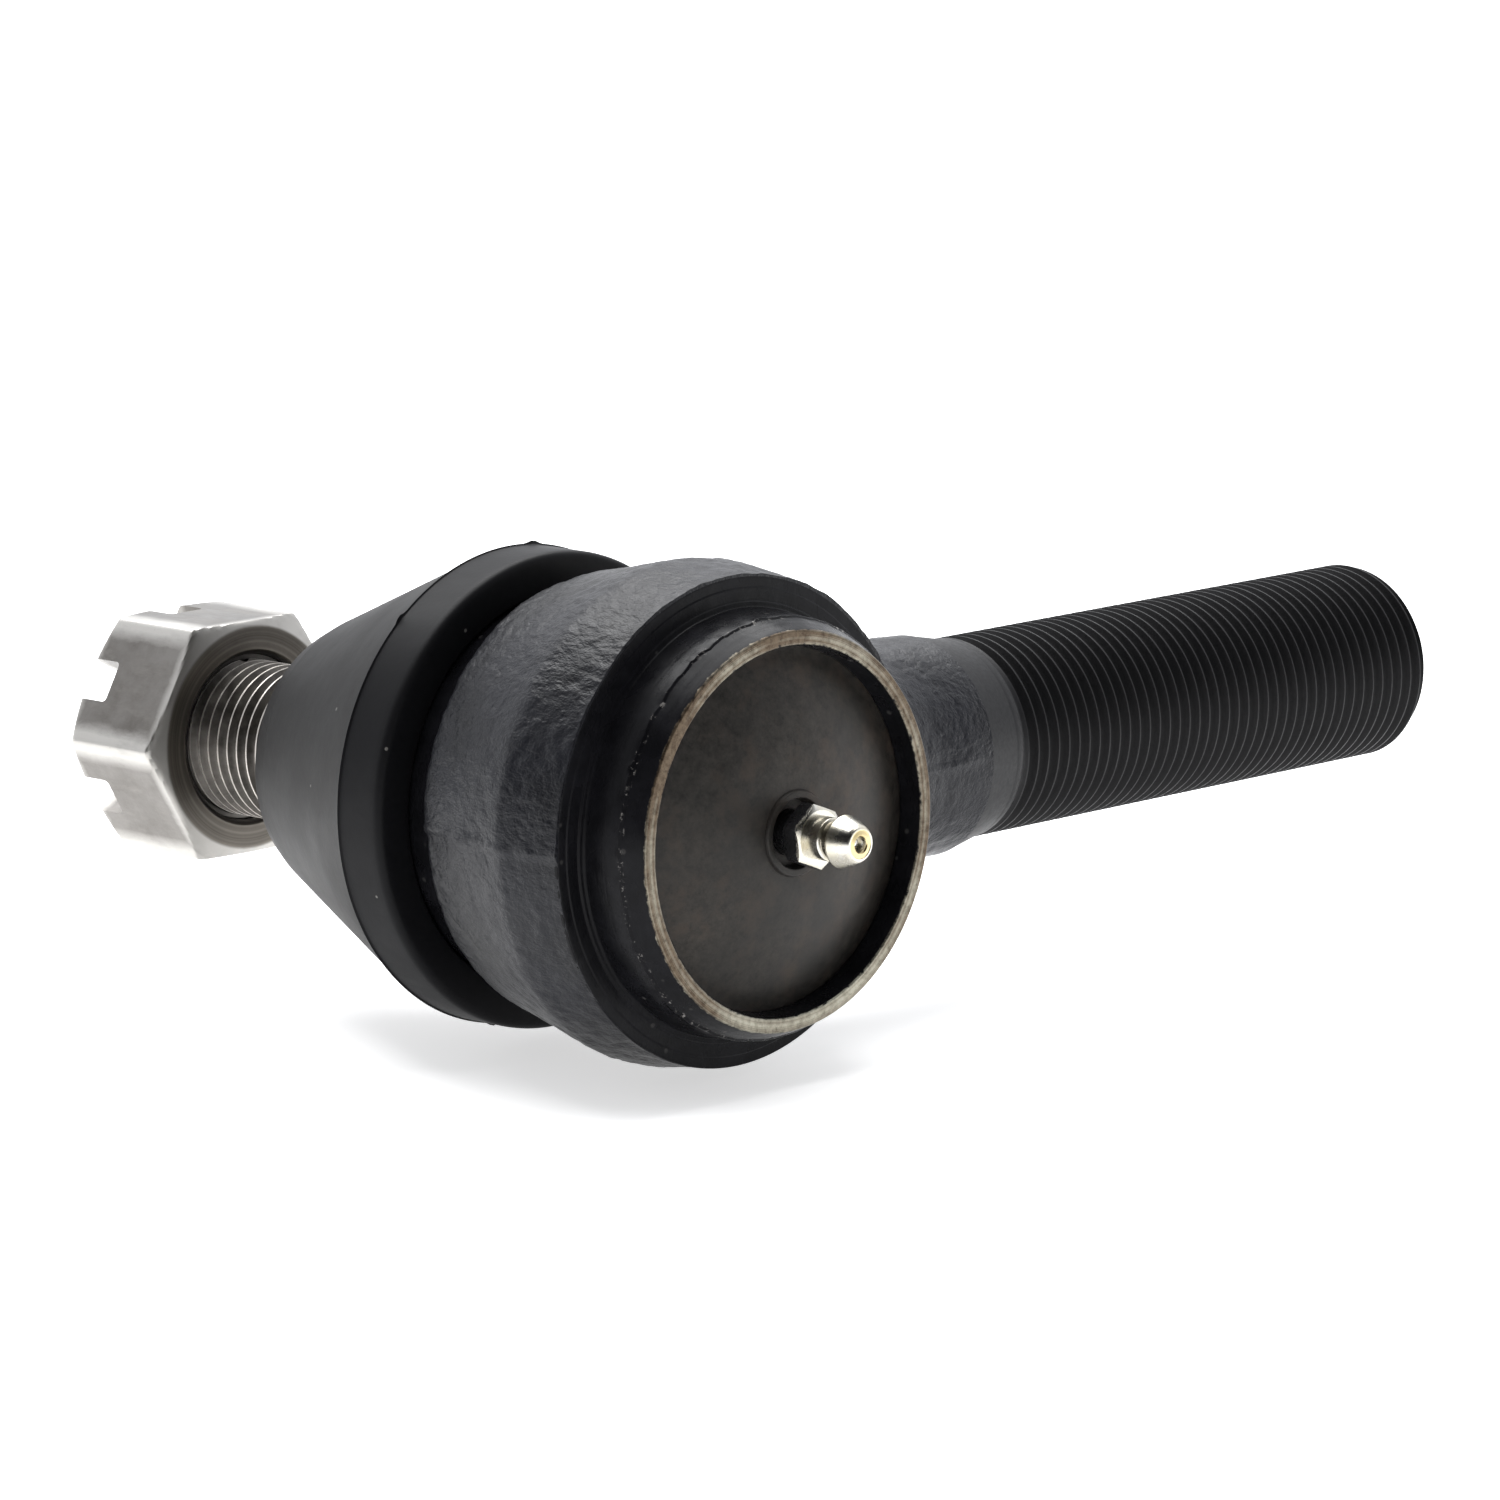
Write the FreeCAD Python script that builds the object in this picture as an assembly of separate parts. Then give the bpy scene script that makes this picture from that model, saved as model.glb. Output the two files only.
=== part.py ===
"""Tie rod end for a heavy truck: a forged socket with a threaded shank, and a ball stud in it.

Frame: the origin is the centre of the ball. +X runs along the shank to its threaded end, +Y runs
along the stud to its nut, and +Z is up with the part lying on its side. Everything that turns is
drawn as a half section (radius, distance along its axis). All sizes are in millimetres.
"""
import FreeCAD, Part
import math
import os

Vector = FreeCAD.Vector

# Driving dimensions ---------------------------------------------------------------------------

INCH = 25.4
ORIGIN = Vector(0, 0, 0)
ALONG_SHANK = Vector(1, 0, 0)
ALONG_STUD = Vector(0, 1, 0)
UP = Vector(0, 0, 1)

# Shank: 1-1/8"-12 thread, six inches from the ball centre to the end
SHANK_END = 6.0 * INCH
SHANK_R = 1.125 * INCH / 2
SHANK_PITCH = INCH / 12
SHANK_THREAD_START = 64.0
NECK_R = 15.7
NECK_END = 56.5
NECK_FLARE_END = 48.0   # the fillet into the head is tangent to the neck here
NECK_FILLET_R = 26.0
NECK_FLARE_X = 33.5
SPIGOT_R = 14.0         # inner end of the shank, inside the head
THREAD_DEPTH = 0.54     # shares of the pitch
THREAD_RELIEF = 0.62
THREAD_CHAMFER = 0.75
OVERLAP = 1.0           # cutters and joined solids reach this far past each other

# Socket head, along the stud axis
FACE_Y = -21.5          # machined face round the closed end
FACE_R = 33.4
CREASE_Y = -11.4        # widest line, where the forging draft changes
CREASE_R = 34.6
SHOULDER_Y = 7.6
SHOULDER_R = 30.3
COLLAR_TOP_Y = 18.5     # collar that the boot sits on
COLLAR_R = 27.0
LIP_END_Y = -31.6       # rolled lip that holds the end plug
LIP_BASE_R = 28.9
LIP_OUTER_R = 27.0
LIP_INNER_R = 25.1
LIP_NECK_R = 24.6
HEAD_EDGE = 0.5         # small chamfers of the head
COLLAR_EDGE = 0.6
COLLAR_FILLET = 1.6
SHOULDER_EDGE = 1.2
FACE_STEP = 0.4         # step and ring at the foot of the lip
FACE_STEP_R = 31.1
FACE_RING_R = 30.5
LIP_WALL = 3.5          # length of the bevelled end of the lip
MOUTH_CLEARANCE = 0.5   # round the swung stud
BORE_R = 25.0
BORE_TOP_Y = 9.3
PLUG_SEAT_Y = -23.8
PLUG_R = 26.0

# Ball joint
BALL_R = 21.5
BALL_CLEARANCE = 0.1
SWING_DEG = 25.0
FIT_GAP = 0.05
STUD_NECK_R = 13.7
STUD_HEAD_BOTTOM_Y = -9.0
HALF_BALL_TOP_Y = 13.0
RACE_BOTTOM_Y = -1.5
SEAT_TOP_Y = -2.5
SEAT_FLOOR_Y = -16.6
SEAT_BOTTOM_Y = -19.0
SEAT_HOLE_R = 8.0
SPRING_THICK = 1.8
SPRING_R = 22.5
SPRING_INNER_R = 11.0

# Stud: 1 in 8 taper on the diameter; 7/8" thread with the turn spacing seen in the photo
TAPER_START_Y = 28.0
TAPER_R = 13.6
TAPER_END_Y = 54.6
TAPER_PER_MM = 1.0 / 16
NECK_CHAMFER = 1.0
RELIEF_RAMP = 0.9       # length of the slopes at each end of the thread relief
STUD_R = 0.875 * INCH / 2
STUD_PITCH = 2.0
STUD_THREAD_START = 57.0
STUD_END = 90.5
COTTER_Y = 79.0
COTTER_R = 2.2

# Slotted nut
NUT_FLATS = (1 + 5.0 / 16) * INCH
NUT_HEIGHT = 0.75 * INCH
NUT_Y = 75.75
NUT_SLOTS = 6
SLOT_WIDTH = 6.1
SLOT_DEPTH = 5.8
NUT_BEARING_R = 15.8
NUT_SINK_R = 12.6
NUT_CHAMFER_DEG = 18    # bearing side
NUT_TOP_CHAMFER_DEG = 30
SLOT_FIRST_DEG = 30
SLOT_STEP_DEG = 60

# End plug and grease fitting
PLUG_EDGE_Y = -27.8
PLUG_TOP_Y = -32.6
PLUG_THICK = 5.2
PLUG_RIM_OUTER_R = 5.7
PLUG_RIM_INNER_R = 4.7
PLUG_RIM_HEIGHT = 0.5
PLUG_RIM_EDGE = 0.2
PLUG_POCKET = 1.4
PLUG_DOME_R = 23.8
PLUG_DOME_MIDDLE_R = 14.756
PLUG_DOME_MIDDLE_Y = -31.3
FITTING_SHANK_R = 3.1
FITTING_SHANK_END_Y = -24.5
FITTING_SHANK_EDGE = 0.5
FITTING_FLATS = 7.94
FITTING_HEX_CORNER_DEG = 38.0
FITTING_HEX_BACK_Y = -34.2
FITTING_HEX_FRONT_Y = -37.1
FITTING_HEX_CHAMFER_R = 0.9
FITTING_HEX_CHAMFER_Y = 0.6
FITTING_COLLAR_R = 2.95
FITTING_COLLAR_Y = -39.4
FITTING_NECK_R = 2.4
FITTING_HEAD_BACK_Y = -41.3
FITTING_HEAD_R = 3.65
FITTING_HEAD_Y = -41.6
FITTING_TIP_R = 2.4
FITTING_TIP_Y = -44.6
FITTING_BORE_R = 1.5
FITTING_MOUTH_R = 0.95
CHECK_BALL_R = 1.25
CHECK_BALL_Y = -42.6
CHECK_SEAT_CONE = 1.1   # length of the cone between the fitting's bore and its mouth
CHECK_SPRING_WIRE = 0.3
CHECK_SPRING_R = 1.1
CHECK_SPRING_TURNS = 6

# Dust boot
BOOT_RIM_Y = 13.3
BOOT_RIM_R = 33.0
BOOT_EDGE_Y = 21.5
BOOT_WAIST_Y = 51.0
BOOT_WAIST_R = 20.2
BOOT_TOP_Y = 57.4
BOOT_TOP_R = 13.2
BOOT_HOLE_R = 12.15
BOOT_WALL = 2.4
BOOT_GRIP_R = 27.35
BOOT_GRIP_TOP_Y = 18.0
BOOT_SHOULDER_R = 18.0  # middle of the rounded top
BOOT_SHOULDER_Y = 55.2
BOOT_LIP = 4.0          # length of the lip on the stud
BOOT_INNER_R = 30.0
BOOT_INNER_DROP = 1.0   # the cone's inner corner is this far below its outer one
BOOT_INNER_Y = 19.0
BOOT_GAP_SIDE = 1.6     # room between the boot's rim and the neck
BOOT_GAP_BELOW = 1.6
BOOT_GAP_CORNER = 1.4


# Shape helpers --------------------------------------------------------------------------------

def arc_edge(start, middle, end):
    """Circular edge through three points."""
    return Part.Arc(start, middle, end).toShape()


def section_face(outline, place):
    """Face inside a closed outline. A point marked "via" is the middle of an arc."""
    points = [(place(*item[:2]), len(item) == 3) for item in outline]
    points.append(points[0])
    edges = []
    index = 0
    while index < len(points) - 1:
        here = points[index][0]
        following, is_middle = points[index + 1]
        if is_middle:
            edges.append(arc_edge(here, following, points[index + 2][0]))
            index += 2
        else:
            edges.append(Part.makeLine(here, following))
            index += 1
    return Part.Face(Part.Wire(edges))


def turned_on_stud(outline):
    """Solid of revolution about the stud axis from (radius, y) points."""
    face = section_face(outline, lambda radius, y: Vector(radius, y, 0))
    return face.revolve(ORIGIN, ALONG_STUD, 360)


def turned_on_shank(outline):
    """Solid of revolution about the shank axis from (radius, x) points."""
    face = section_face(outline, lambda radius, x: Vector(x, radius, 0))
    return face.revolve(ORIGIN, ALONG_SHANK, 360)


def on_sphere(radius, y):
    """Section point at height y on a sphere round the ball centre."""
    return (math.sqrt(radius ** 2 - y ** 2), y)


def sphere_arc(radius, y_from, y_to):
    """Middle and end points of a section arc on a sphere round the ball centre."""
    angle_from = math.asin(y_from / radius)
    angle_to = math.asin(y_to / radius)
    middle = (angle_from + angle_to) / 2
    return [(radius * math.cos(middle), radius * math.sin(middle), "via"), on_sphere(radius, y_to)]


def thread_section(crest_r, pitch, start, end):
    """Points along a threaded stretch: one V groove for each turn between flat crests."""
    depth = THREAD_DEPTH * pitch
    crest = pitch / 8
    root = pitch / 4
    flank = (pitch - crest - root) / 2
    points = [(crest_r, start)]
    for turn in range(int((end - start - crest) / pitch)):
        groove = start + crest + turn * pitch
        points.append((crest_r, groove))
        points.append((crest_r - depth, groove + flank))
        points.append((crest_r - depth, groove + flank + root))
        points.append((crest_r, groove + pitch - crest))
    points.append((crest_r, end))
    return points


def hexagon(across_flats, y_from, y_to, first_corner_deg=0.0):
    """Hexagonal bar along the stud axis."""
    corner_r = across_flats / math.sqrt(3)
    corners = []
    for step in range(7):
        angle = math.radians(first_corner_deg + 60 * step)
        corners.append(Vector(corner_r * math.cos(angle), y_from, corner_r * math.sin(angle)))
    face = Part.Face(Part.makePolygon(corners))
    return face.extrude(ALONG_STUD * (y_to - y_from))


def cylinder(radius, start, end):
    """Solid cylinder between two points."""
    return Part.makeCylinder(radius, (end - start).Length, start, end - start)


# Socket ---------------------------------------------------------------------------------------

def socket_head():
    """Outside of the forged head, with the rolled lip and the boot collar."""
    return turned_on_stud([
        (0, COLLAR_TOP_Y), (COLLAR_R - COLLAR_EDGE, COLLAR_TOP_Y),
        (COLLAR_R, COLLAR_TOP_Y - COLLAR_EDGE), (COLLAR_R, SHOULDER_Y + COLLAR_FILLET),
        (COLLAR_R + COLLAR_FILLET, SHOULDER_Y), (SHOULDER_R - SHOULDER_EDGE, SHOULDER_Y),
        (SHOULDER_R, SHOULDER_Y - SHOULDER_EDGE), (CREASE_R, CREASE_Y),
        (FACE_R, FACE_Y + HEAD_EDGE), (FACE_R - HEAD_EDGE, FACE_Y), (FACE_STEP_R, FACE_Y),
        (FACE_RING_R, FACE_Y - FACE_STEP), (LIP_BASE_R, FACE_Y - FACE_STEP),
        (LIP_BASE_R - HEAD_EDGE, LIP_END_Y + LIP_WALL), (LIP_OUTER_R, LIP_END_Y), (0, LIP_END_Y),
    ])


def neck_fillet_r(x):
    """Radius of the neck where it flares into the head."""
    return NECK_R + NECK_FILLET_R - math.sqrt(NECK_FILLET_R ** 2 - (NECK_FLARE_END - x) ** 2)


def shank():
    """Neck, tapered shoulder and threaded end, turned about the shank axis."""
    flare_start = neck_fillet_r(NECK_FLARE_X)
    flare_middle = (NECK_FLARE_X + NECK_FLARE_END) / 2
    outline = [
        (0, 0), (SPIGOT_R, 0), (flare_start, NECK_FLARE_X - OVERLAP), (flare_start, NECK_FLARE_X),
        (neck_fillet_r(flare_middle), flare_middle, "via"), (NECK_R, NECK_FLARE_END),
        (NECK_R, NECK_END),
    ]
    chamfer = THREAD_CHAMFER * SHANK_PITCH
    outline += thread_section(SHANK_R, SHANK_PITCH, SHANK_THREAD_START, SHANK_END - chamfer)
    outline += [(SHANK_R - chamfer, SHANK_END), (0, SHANK_END)]
    return turned_on_shank(outline)


def boot_clearance():
    """Space above the collar and round it that keeps the neck clear of the boot's rim."""
    above = BOOT_WAIST_Y
    below = BOOT_RIM_Y - BOOT_GAP_BELOW
    near = BOOT_RIM_R + BOOT_GAP_SIDE
    return turned_on_stud([
        (0, COLLAR_TOP_Y), (COLLAR_R, COLLAR_TOP_Y), (COLLAR_R, below), (near, below),
        (near + BOOT_GAP_CORNER, below + BOOT_GAP_CORNER), (near + BOOT_GAP_CORNER, above),
        (0, above),
    ])


def socket_cavity():
    """Bore for the bearings, groove for the plug, and the flared mouth for the stud."""
    swing = math.radians(SWING_DEG)
    neck_r = STUD_NECK_R / math.cos(swing) + MOUTH_CLEARANCE
    mouth_low_r = neck_r + BORE_TOP_Y * math.tan(swing)
    mouth_high_r = neck_r + COLLAR_TOP_Y * math.tan(swing)
    return turned_on_stud([
        (0, COLLAR_TOP_Y), (mouth_high_r, COLLAR_TOP_Y), (mouth_low_r, BORE_TOP_Y),
        (BORE_R, BORE_TOP_Y), (BORE_R, PLUG_SEAT_Y), (PLUG_R + FIT_GAP, PLUG_SEAT_Y),
        (PLUG_R + FIT_GAP, PLUG_EDGE_Y), (LIP_NECK_R, PLUG_EDGE_Y), (LIP_INNER_R, LIP_END_Y),
        (0, LIP_END_Y),
    ])


def socket_forging():
    """One forging: head and shank, bored and relieved."""
    body = socket_head().fuse(shank().cut(boot_clearance()))
    return body.cut(socket_cavity())


def upper_race():
    """Hardened ring that the ball bears on."""
    inner_r = BALL_R + BALL_CLEARANCE
    top = BORE_TOP_Y - FIT_GAP
    outer_r = BORE_R - FIT_GAP
    return turned_on_stud(
        [(outer_r, top), (outer_r, RACE_BOTTOM_Y), on_sphere(inner_r, RACE_BOTTOM_Y)]
        + sphere_arc(inner_r, RACE_BOTTOM_Y, top)
    )


def lower_seat():
    """Spring-loaded cup under the stud's head."""
    inner_r = BALL_R + BALL_CLEARANCE
    outline = [on_sphere(inner_r, SEAT_FLOOR_Y)]
    outline += sphere_arc(inner_r, SEAT_FLOOR_Y, SEAT_TOP_Y)
    outline += [
        (BORE_R - FIT_GAP, SEAT_TOP_Y), (BORE_R - FIT_GAP, SEAT_BOTTOM_Y),
        (SEAT_HOLE_R, SEAT_BOTTOM_Y), (SEAT_HOLE_R, SEAT_FLOOR_Y),
    ]
    return turned_on_stud(outline)


def disc_spring():
    """Conical disc spring between the plug and the lower seat."""
    low = PLUG_SEAT_Y + FIT_GAP
    high = SEAT_BOTTOM_Y - FIT_GAP
    return turned_on_stud([
        (SPRING_R, low), (SPRING_R, low + SPRING_THICK), (SPRING_INNER_R, high),
        (SPRING_INNER_R, high - SPRING_THICK),
    ])


# End plug and grease fitting ------------------------------------------------------------------

def end_plug():
    """Domed plug with a flat rim, a low collar and the tapped hole for the fitting."""
    pocket_y = PLUG_TOP_Y + PLUG_POCKET
    inside_y = PLUG_TOP_Y + PLUG_THICK
    hole_r = FITTING_SHANK_R + FIT_GAP
    return turned_on_stud([
        (PLUG_R, PLUG_SEAT_Y - FIT_GAP), (PLUG_R, PLUG_EDGE_Y + FIT_GAP),
        (PLUG_DOME_R, PLUG_EDGE_Y + FIT_GAP), (PLUG_DOME_MIDDLE_R, PLUG_DOME_MIDDLE_Y, "via"),
        (PLUG_RIM_OUTER_R, PLUG_TOP_Y),
        (PLUG_RIM_OUTER_R - PLUG_RIM_EDGE, PLUG_TOP_Y - PLUG_RIM_HEIGHT),
        (PLUG_RIM_INNER_R, PLUG_TOP_Y - PLUG_RIM_HEIGHT), (PLUG_RIM_INNER_R, pocket_y),
        (hole_r, pocket_y), (hole_r, inside_y), (PLUG_RIM_OUTER_R, inside_y),
        (PLUG_DOME_MIDDLE_R, PLUG_DOME_MIDDLE_Y + PLUG_THICK, "via"),
        (PLUG_DOME_R, PLUG_SEAT_Y - FIT_GAP),
    ])


def grease_fitting_body():
    """Hollow fitting: threaded shank, hexagon, collar, neck and coupling head."""
    turned = turned_on_stud([
        (0, FITTING_SHANK_END_Y), (FITTING_SHANK_R - FITTING_SHANK_EDGE, FITTING_SHANK_END_Y),
        (FITTING_SHANK_R, FITTING_SHANK_END_Y - FITTING_SHANK_EDGE),
        (FITTING_SHANK_R, FITTING_HEX_BACK_Y), (FITTING_COLLAR_R, FITTING_HEX_BACK_Y),
        (FITTING_COLLAR_R, FITTING_COLLAR_Y), (FITTING_NECK_R, FITTING_COLLAR_Y),
        (FITTING_NECK_R, FITTING_HEAD_BACK_Y), (FITTING_HEAD_R, FITTING_HEAD_Y),
        (FITTING_TIP_R, FITTING_TIP_Y), (0, FITTING_TIP_Y),
    ])
    blank = hexagon(
        FITTING_FLATS, FITTING_HEX_BACK_Y, FITTING_HEX_FRONT_Y, FITTING_HEX_CORNER_DEG
    )
    corner_r = FITTING_FLATS / math.sqrt(3)
    envelope = turned_on_stud([
        (0, FITTING_HEX_BACK_Y), (corner_r, FITTING_HEX_BACK_Y),
        (corner_r, FITTING_HEX_FRONT_Y + FITTING_HEX_CHAMFER_Y),
        (corner_r - FITTING_HEX_CHAMFER_R, FITTING_HEX_FRONT_Y), (0, FITTING_HEX_FRONT_Y),
    ])
    seat_y = CHECK_BALL_Y - math.sqrt(CHECK_BALL_R ** 2 - FITTING_MOUTH_R ** 2)
    beyond = FITTING_SHANK_END_Y + OVERLAP
    bore = turned_on_stud([
        (0, beyond), (FITTING_BORE_R, beyond), (FITTING_BORE_R, seat_y + CHECK_SEAT_CONE),
        (FITTING_MOUTH_R, seat_y), (FITTING_MOUTH_R, FITTING_TIP_Y - OVERLAP),
        (0, FITTING_TIP_Y - OVERLAP),
    ])
    return turned.fuse(blank.common(envelope)).cut(bore).removeSplitter()


def fitting_check_ball():
    """Ball that closes the mouth of the fitting."""
    return Part.makeSphere(CHECK_BALL_R - FIT_GAP, Vector(0, CHECK_BALL_Y + 2 * FIT_GAP, 0))


def fitting_spring():
    """Small coil spring behind the check ball."""
    bottom = FITTING_SHANK_END_Y - OVERLAP
    top = CHECK_BALL_Y + CHECK_BALL_R + CHECK_SPRING_WIRE
    length = bottom - top
    helix = Part.makeHelix(length / CHECK_SPRING_TURNS, length, CHECK_SPRING_R)
    wire = Part.Wire(helix.Edges)
    start = Vector(CHECK_SPRING_R, 0, 0)
    circle = Part.Wire(Part.makeCircle(CHECK_SPRING_WIRE / 2, start, ALONG_STUD))
    coil = wire.makePipeShell([circle], True, True)
    coil.rotate(ORIGIN, ALONG_SHANK, -90)
    coil.translate(Vector(0, top, 0))
    return Part.Solid(Part.Shell(coil.Faces)) if coil.ShapeType != "Solid" else coil


# Stud, half ball, boot and nut ----------------------------------------------------------------

def taper_r(y):
    """Radius of the stud's taper at height y."""
    return TAPER_R - (y - TAPER_START_Y) * TAPER_PER_MM


def ball_stud():
    """Stud with the lower half of the ball forged on."""
    chamfer = THREAD_CHAMFER * STUD_PITCH
    relief_r = STUD_R - THREAD_RELIEF * STUD_PITCH
    outline = [(0, STUD_HEAD_BOTTOM_Y), on_sphere(BALL_R, STUD_HEAD_BOTTOM_Y)]
    outline += sphere_arc(BALL_R, STUD_HEAD_BOTTOM_Y, -FIT_GAP)
    outline += [
        (STUD_NECK_R, -FIT_GAP), (STUD_NECK_R, TAPER_START_Y - NECK_CHAMFER),
        (TAPER_R, TAPER_START_Y), (taper_r(TAPER_END_Y), TAPER_END_Y),
        (relief_r, TAPER_END_Y + RELIEF_RAMP), (relief_r, STUD_THREAD_START - RELIEF_RAMP),
    ]
    outline += thread_section(STUD_R, STUD_PITCH, STUD_THREAD_START, STUD_END - chamfer)
    outline += [(STUD_R - chamfer, STUD_END), (0, STUD_END)]
    reach = UP * (STUD_R + OVERLAP)
    across = ALONG_STUD * COTTER_Y
    return turned_on_stud(outline).cut(cylinder(COTTER_R, across - reach, across + reach))


def half_ball():
    """Upper half of the ball, a loose ring that the stud turns in."""
    hole_r = STUD_NECK_R + FIT_GAP
    outline = [(hole_r, FIT_GAP), on_sphere(BALL_R, FIT_GAP)]
    outline += sphere_arc(BALL_R, FIT_GAP, HALF_BALL_TOP_Y)
    outline += [(hole_r, HALF_BALL_TOP_Y)]
    return turned_on_stud(outline)


def dust_boot():
    """Rubber bell: a thick rim round the socket's collar, a cone, and a lip on the stud."""
    return turned_on_stud([
        (BOOT_GRIP_R, BOOT_RIM_Y), (BOOT_RIM_R, BOOT_RIM_Y), (BOOT_RIM_R, BOOT_EDGE_Y),
        (BOOT_WAIST_R, BOOT_WAIST_Y), (BOOT_SHOULDER_R, BOOT_SHOULDER_Y, "via"),
        (BOOT_TOP_R, BOOT_TOP_Y), (BOOT_HOLE_R, BOOT_TOP_Y), (BOOT_HOLE_R, BOOT_TOP_Y - BOOT_LIP),
        (BOOT_WAIST_R - BOOT_WALL, BOOT_WAIST_Y - BOOT_INNER_DROP),
        (BOOT_INNER_R, BOOT_EDGE_Y), (BOOT_INNER_R, BOOT_INNER_Y), (BOOT_GRIP_R, BOOT_GRIP_TOP_Y),
    ])


def slotted_nut():
    """Hexagon nut with six slots, chamfered on its bearing side."""
    top = NUT_Y + NUT_HEIGHT
    blank = hexagon(NUT_FLATS, NUT_Y, top)
    corner_r = NUT_FLATS / math.sqrt(3)
    chamfer = (corner_r - NUT_BEARING_R) * math.tan(math.radians(NUT_CHAMFER_DEG))
    top_chamfer = (corner_r - NUT_BEARING_R) * math.tan(math.radians(NUT_TOP_CHAMFER_DEG))
    envelope = turned_on_stud([
        (0, NUT_Y), (NUT_BEARING_R, NUT_Y), (corner_r, NUT_Y + chamfer),
        (corner_r, top - top_chamfer), (NUT_BEARING_R, top), (0, top),
    ])
    nut = blank.common(envelope)
    bore_r = STUD_R + FIT_GAP
    sink = NUT_SINK_R - bore_r
    nut = nut.cut(turned_on_stud([
        (0, NUT_Y - OVERLAP), (NUT_SINK_R + OVERLAP, NUT_Y - OVERLAP), (bore_r, NUT_Y + sink),
        (bore_r, top + OVERLAP), (0, top + OVERLAP),
    ]))
    for index in range(NUT_SLOTS):
        slot = Part.makeBox(corner_r + OVERLAP, SLOT_DEPTH + OVERLAP, SLOT_WIDTH)
        slot.translate(Vector(0, top - SLOT_DEPTH, -SLOT_WIDTH / 2))
        slot.rotate(ORIGIN, ALONG_STUD, SLOT_FIRST_DEG + SLOT_STEP_DEG * index)
        nut = nut.cut(slot)
    return nut


# Export ---------------------------------------------------------------------------------------

PIECES = [
    socket_forging, upper_race, lower_seat, disc_spring, end_plug, grease_fitting_body,
    fitting_check_ball, fitting_spring, ball_stud, half_ball, dust_boot, slotted_nut,
]


def main():
    """Write one STEP file for each piece."""
    os.makedirs("parts", exist_ok=True)
    for make in PIECES:
        shape = make()
        solids = shape.Solids
        if len(solids) != 1 or not shape.isValid():
            raise SystemExit("%s: %d solids, valid %s" % (make.__name__, len(solids), shape.isValid()))
        solids[0].exportStep("parts/%s.step" % make.__name__)
        print("%-22s %9.1f mm3" % (make.__name__, solids[0].Volume))


main()
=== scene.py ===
"""Looks of a heavy-truck tie rod end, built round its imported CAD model.

The frame's +X runs along the shank, +Y along the stud to the nut, and +Z is up. Section outlines
are (radius, distance along the axis) in millimetres, and meshes are made in metres.
"""
import math

import bmesh
import bpy
import numpy as np
from mathutils import Matrix, Vector, noise


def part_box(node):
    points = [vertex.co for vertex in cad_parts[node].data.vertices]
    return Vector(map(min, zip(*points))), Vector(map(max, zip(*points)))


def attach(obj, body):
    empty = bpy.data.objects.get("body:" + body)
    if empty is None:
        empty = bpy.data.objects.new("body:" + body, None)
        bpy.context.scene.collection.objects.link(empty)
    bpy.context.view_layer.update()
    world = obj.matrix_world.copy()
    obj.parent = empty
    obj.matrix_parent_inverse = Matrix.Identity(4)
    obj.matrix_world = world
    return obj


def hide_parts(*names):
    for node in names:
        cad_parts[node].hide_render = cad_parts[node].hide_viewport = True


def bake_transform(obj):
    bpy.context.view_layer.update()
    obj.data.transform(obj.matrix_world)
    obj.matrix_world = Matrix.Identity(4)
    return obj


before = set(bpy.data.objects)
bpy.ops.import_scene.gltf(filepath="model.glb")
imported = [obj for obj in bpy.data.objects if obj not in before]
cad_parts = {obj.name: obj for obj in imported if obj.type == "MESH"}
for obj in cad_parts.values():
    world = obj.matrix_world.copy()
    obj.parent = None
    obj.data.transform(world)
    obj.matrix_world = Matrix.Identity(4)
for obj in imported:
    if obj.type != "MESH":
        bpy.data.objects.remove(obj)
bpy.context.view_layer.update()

MM = 0.001
TURN = 2 * math.pi
SHANK = "x"
STUD = "y"


# Sizes read from the frame, in millimetres ------------------------------------------------------

def node_box(node):
    """Lowest and highest corner of a CAD node in millimetres."""
    low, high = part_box(node)
    return low / MM, high / MM


forging_low, forging_high = node_box("socket_forging")
boot_low, boot_high = node_box("dust_boot")
nut_low, nut_high = node_box("slotted_nut")
stud_low, stud_high = node_box("ball_stud")
plug_low, plug_high = node_box("end_plug")
fitting_low, fitting_high = node_box("grease_fitting_body")
ball_low, ball_high = node_box("fitting_check_ball")

SHANK_END = forging_high.x
CREASE_R = -forging_low.x
COLLAR_TOP = forging_high.y
LIP_END = forging_low.y
BOOT_RIM_Y, BOOT_TOP_Y = boot_low.y, boot_high.y
BOOT_RIM_R = boot_high.x
NUT_Y, NUT_TOP = nut_low.y, nut_high.y
NUT_CORNER_R = nut_high.x
STUD_END = stud_high.y
BALL_R = stud_high.x
STUD_HEAD_Y = stud_low.y
PLUG_R = plug_high.x
PLUG_SEAT_Y = plug_high.y
PLUG_RIM_Y = plug_low.y
FITTING_TIP_Y = fitting_low.y
FITTING_SHANK_END_Y = fitting_high.y

# Threads and other sizes that the boxes don't give, in millimetres. The shank's thread is taken
# as 1-1/8 inch - 12. The stud's turns are spaced as in the photo; their standard is not known.
INCH = 25.4
SHANK_R, SHANK_PITCH = 1.125 * INCH / 2, INCH / 12
SHANK_THREAD_START = 64.0
STUD_R, STUD_PITCH = 0.875 * INCH / 2, 2.0
STUD_THREAD_START = 57.0
NECK_R, NECK_END = 15.7, 56.5
NECK_FILLET_END, NECK_FILLET_R, NECK_FLARE_X = 48.0, 26.0, 33.5
FACE_Y, FACE_R = -21.5, 33.4
CREASE_Y = -11.4
SHOULDER_Y, SHOULDER_R = 7.6, 30.3
COLLAR_R = 27.0
LIP_BASE_R, LIP_OUTER_R, LIP_INNER_R, LIP_NECK_R = 28.9, 27.0, 25.1, 24.6
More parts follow.
